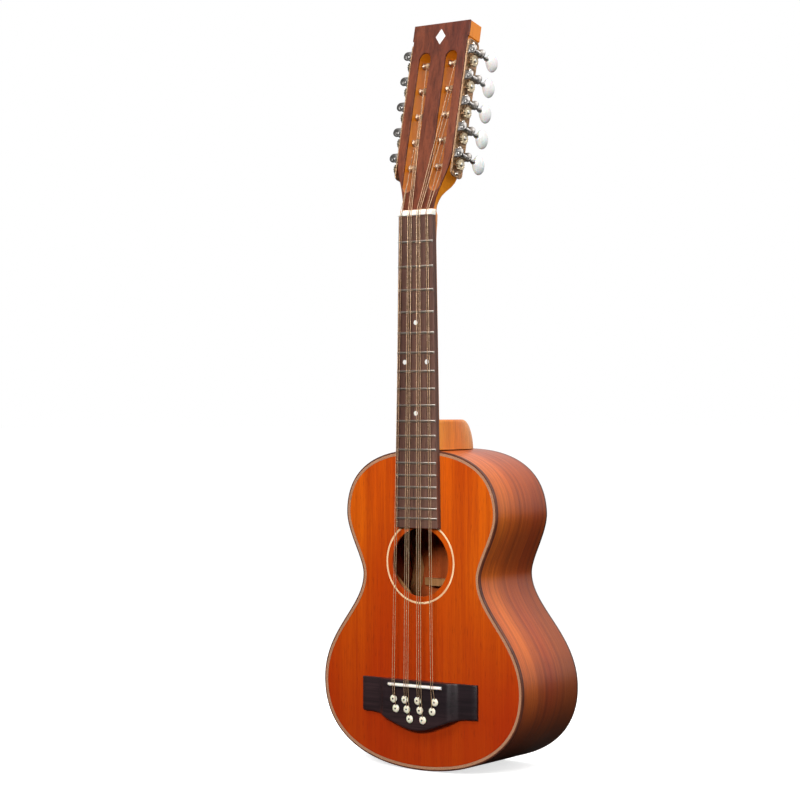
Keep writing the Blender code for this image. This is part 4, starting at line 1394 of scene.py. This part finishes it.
def gear_screw(i):
    """Slotted screw that holds the gear on its post."""
    face = WHEEL_X[1]
    place = post_place(i)
    rows = ((-0.3, 2.0), (0.4, 2.0), (0.7, 1.8), (0.9, 1.3), (0.96, 0.1))
    screw = add_piece(f"gear_screw_{i + 1}", turned([(face + x, r) for x, r in rows], 24, place), "screw")
    corners = ((-2.3, -0.25), (2.3, -0.25), (2.3, 0.25), (-2.3, 0.25))
    carve(screw, skin([[place(face + proud, s, t) for s, t in corners] for proud in (0.5, 1.8)]))
    settle(screw, (), f"post_{i + 1}")


def key_place(i):
    """Maps (along t, u, v) round the worm axis of tuner i; u x v points along +t."""
    side, k = tuner_of(i)
    return lambda along, u, v: head_point(side * WORM_X + u, post_height(k) + WORM_RISE - v, along)


def worm_thread(place):
    """Right-handed worm thread."""
    sides = 28
    rows = 60
    low, high = WORM_T
    rings = []
    for n in range(rows + 1):
        t = low + (high - low) * n / rows
        fade = min((t - low) / 0.8, (high - t) / 0.8, 1.0)
        ring = []
        for m in range(sides):
            phase = (t / WORM_PITCH - m / sides) % 1.0
            ridge = min(max(1.6 * (0.5 - abs(phase - 0.5)) * 2.0 - 0.35, 0.0), 1.0)
            radius = WORM_CORE + (WORM_TIP - WORM_CORE) * ridge * fade
            a = tau * m / sides
            ring.append(place(t, radius * cos(a), radius * sin(a)))
        rings.append(ring)
    return skin(rings)


def worm(i):
    """Worm shaft with its thread and its collars."""
    place = key_place(i)
    hub = WORM_CORE + 0.4
    front = [(1.5, 0.9), (1.7, SHAFT_R), (4.5, SHAFT_R), (4.55, hub), (WORM_T[0] + 0.1, hub)]
    rear = [(WORM_T[1] - 0.1, hub), (15.3, hub), (15.35, SHAFT_R), (17.5, SHAFT_R), (17.55, 2.3), (17.8, 2.6)]
    rear += [(19.3, 2.6), (19.6, 2.3), (19.7, 1.5), (20.4, 1.2), (24.0, 1.2), (25.2, 1.9), (26.6, 2.1)]
    rear += [(27.6, 1.9), (BUTTON_T + 1.0, 1.9)]
    shapes = [turned(front, 28, place), worm_thread(place), turned(rear, 28, place)]
    shaft = add_piece(f"worm_{i + 1}", gather(shapes), "worm")
    settle(shaft, [f"tuner_key_{i + 1}"], f"key_{i + 1}")


def button(i):
    """Oval pearl button, thin across and domed on both faces."""
    steps = 24
    rows = [(BUTTON_T, 1.6, 2.2)]
    for n in range(1, steps):
        share = n / steps
        bow = sqrt(max(1.0 - (2.0 * share - 1.0) ** 2, 0.0))
        thin = BUTTON_THIN * (0.45 + 0.55 * bow) * sqrt(min((1.0 - share) / 0.1, 1.0))
        wide = BUTTON_WIDE * bow * (0.82 + 0.18 * min(share / 0.25, 1.0))
        rows.append((BUTTON_T + BUTTON_LONG * share, max(thin, 0.2), max(wide, 0.3)))
    rows.append((BUTTON_T + BUTTON_LONG, 0.15, 0.3))
    piece = add_piece(f"button_{i + 1}", turned(rows, 36, key_place(i)), "button", crease=60.0)
    settle(piece, (), f"key_{i + 1}")


# ---- stage


def studio_floor():
    """Large floor just under the tail."""
    sides = 96
    z = CAD_BOX[0].z / MM - 0.6
    ring = [(x, y, z) for x, y in circle(0.0, 0.0, 40000.0, sides)]
    add_piece("studio_floor", (ring, [tuple(range(sides))]), "floor")


def sky():
    """White backdrop behind the instrument, a dim room in front of it."""
    world = bpy.data.worlds.new("studio")
    bpy.context.scene.world = world
    world.use_nodes = True
    web = Web(world.node_tree)
    where = web.add("ShaderNodeTexCoord").outputs["Generated"]
    depth = web.add("ShaderNodeSeparateXYZ", ("Vector", where)).outputs["Y"]
    room = web.tree.nodes["Background"]
    room.inputs["Strength"].default_value = 0.9
    web.feed(room.inputs["Color"], web.span(depth, -0.35, 0.75, 0.10, 1.0))
    seen = web.add("ShaderNodeBackground", ("Color", WHITE)).outputs["Background"]
    ray = web.add("ShaderNodeLightPath").outputs["Is Camera Ray"]
    mix = web.add("ShaderNodeMixShader", ("Fac", ray), (1, room.outputs["Background"]), (2, seen))
    web.feed(web.tree.nodes["World Output"].inputs["Surface"], mix.outputs["Shader"])


def softbox(name, place, aim, wide, high, watts):
    """Rectangular area light turned towards a point."""
    light = bpy.data.lights.new(name, "AREA")
    light.shape = "RECTANGLE"
    light.size = wide
    light.size_y = high
    light.energy = watts
    obj = new_object(name, light)
    obj.location = place
    obj.rotation_euler = (Vector(aim) - Vector(place)).to_track_quat("-Z", "Y").to_euler()


def lights():
    """Big overhead box, a box from the right, a small key light in front and a box high on the left."""
    softbox("overhead_box", (0.45, 0.1, 1.25), (0.0, 0.0, -0.25), 1.3, 1.1, 18.0)
    softbox("right_box", (1.9, 0.25, 0.75), (0.0, 0.0, -0.15), 0.9, 1.0, 10.0)
    softbox("key_box", (0.5, -1.45, 0.2), (0.0, 0.0, -0.25), 0.3, 0.3, 22.0)
    softbox("front_box", (-0.15, -0.95, 0.9), (0.0, 0.0, -0.2), 0.6, 0.6, 9.0)


def camera():
    """Long-lens camera in front and to the right of the instrument."""
    yaw = radians(CAMERA_YAW)
    pitch = radians(CAMERA_PITCH)
    roll = radians(CAMERA_ROLL)
    level = Vector((cos(yaw), sin(yaw), 0.0))
    ahead = Vector((-sin(yaw) * cos(pitch), cos(yaw) * cos(pitch), -sin(pitch)))
    above = level.cross(ahead)
    right = level * cos(roll) + above * sin(roll)
    up = above * cos(roll) - level * sin(roll)
    lens = bpy.data.cameras.new("camera")
    lens.lens = CAMERA_LENS
    obj = new_object("camera", lens)
    obj.matrix_world = Matrix.Translation(CAMERA_PLACE) @ Matrix((right, up, -ahead)).transposed().to_4x4()
    bpy.context.scene.camera = obj


def build():
    """Make every piece, then the studio round them."""
    camera()
    soundboard()
    rosette()
    edges()
    for side, hand in SIDES:
        rib(side, hand)
    for make in (back, inner_nodes, bridge, saddle, pin_dots, neck, heel, foot_block,
                 head_face, head_diamond, fingerboard, frets, fret_dots, nut):
        make()
    for make in (side_plate, plate_screws):
        for side, hand in SIDES:
            make(side, hand)
    for i in range(STRINGS):
        for make in (bridge_pin, string, roller, gear, gear_screw, worm, button):
            make(i)
    studio_floor()
    sky()
    lights()
    bpy.context.scene.view_settings.view_transform = "Standard"


build()
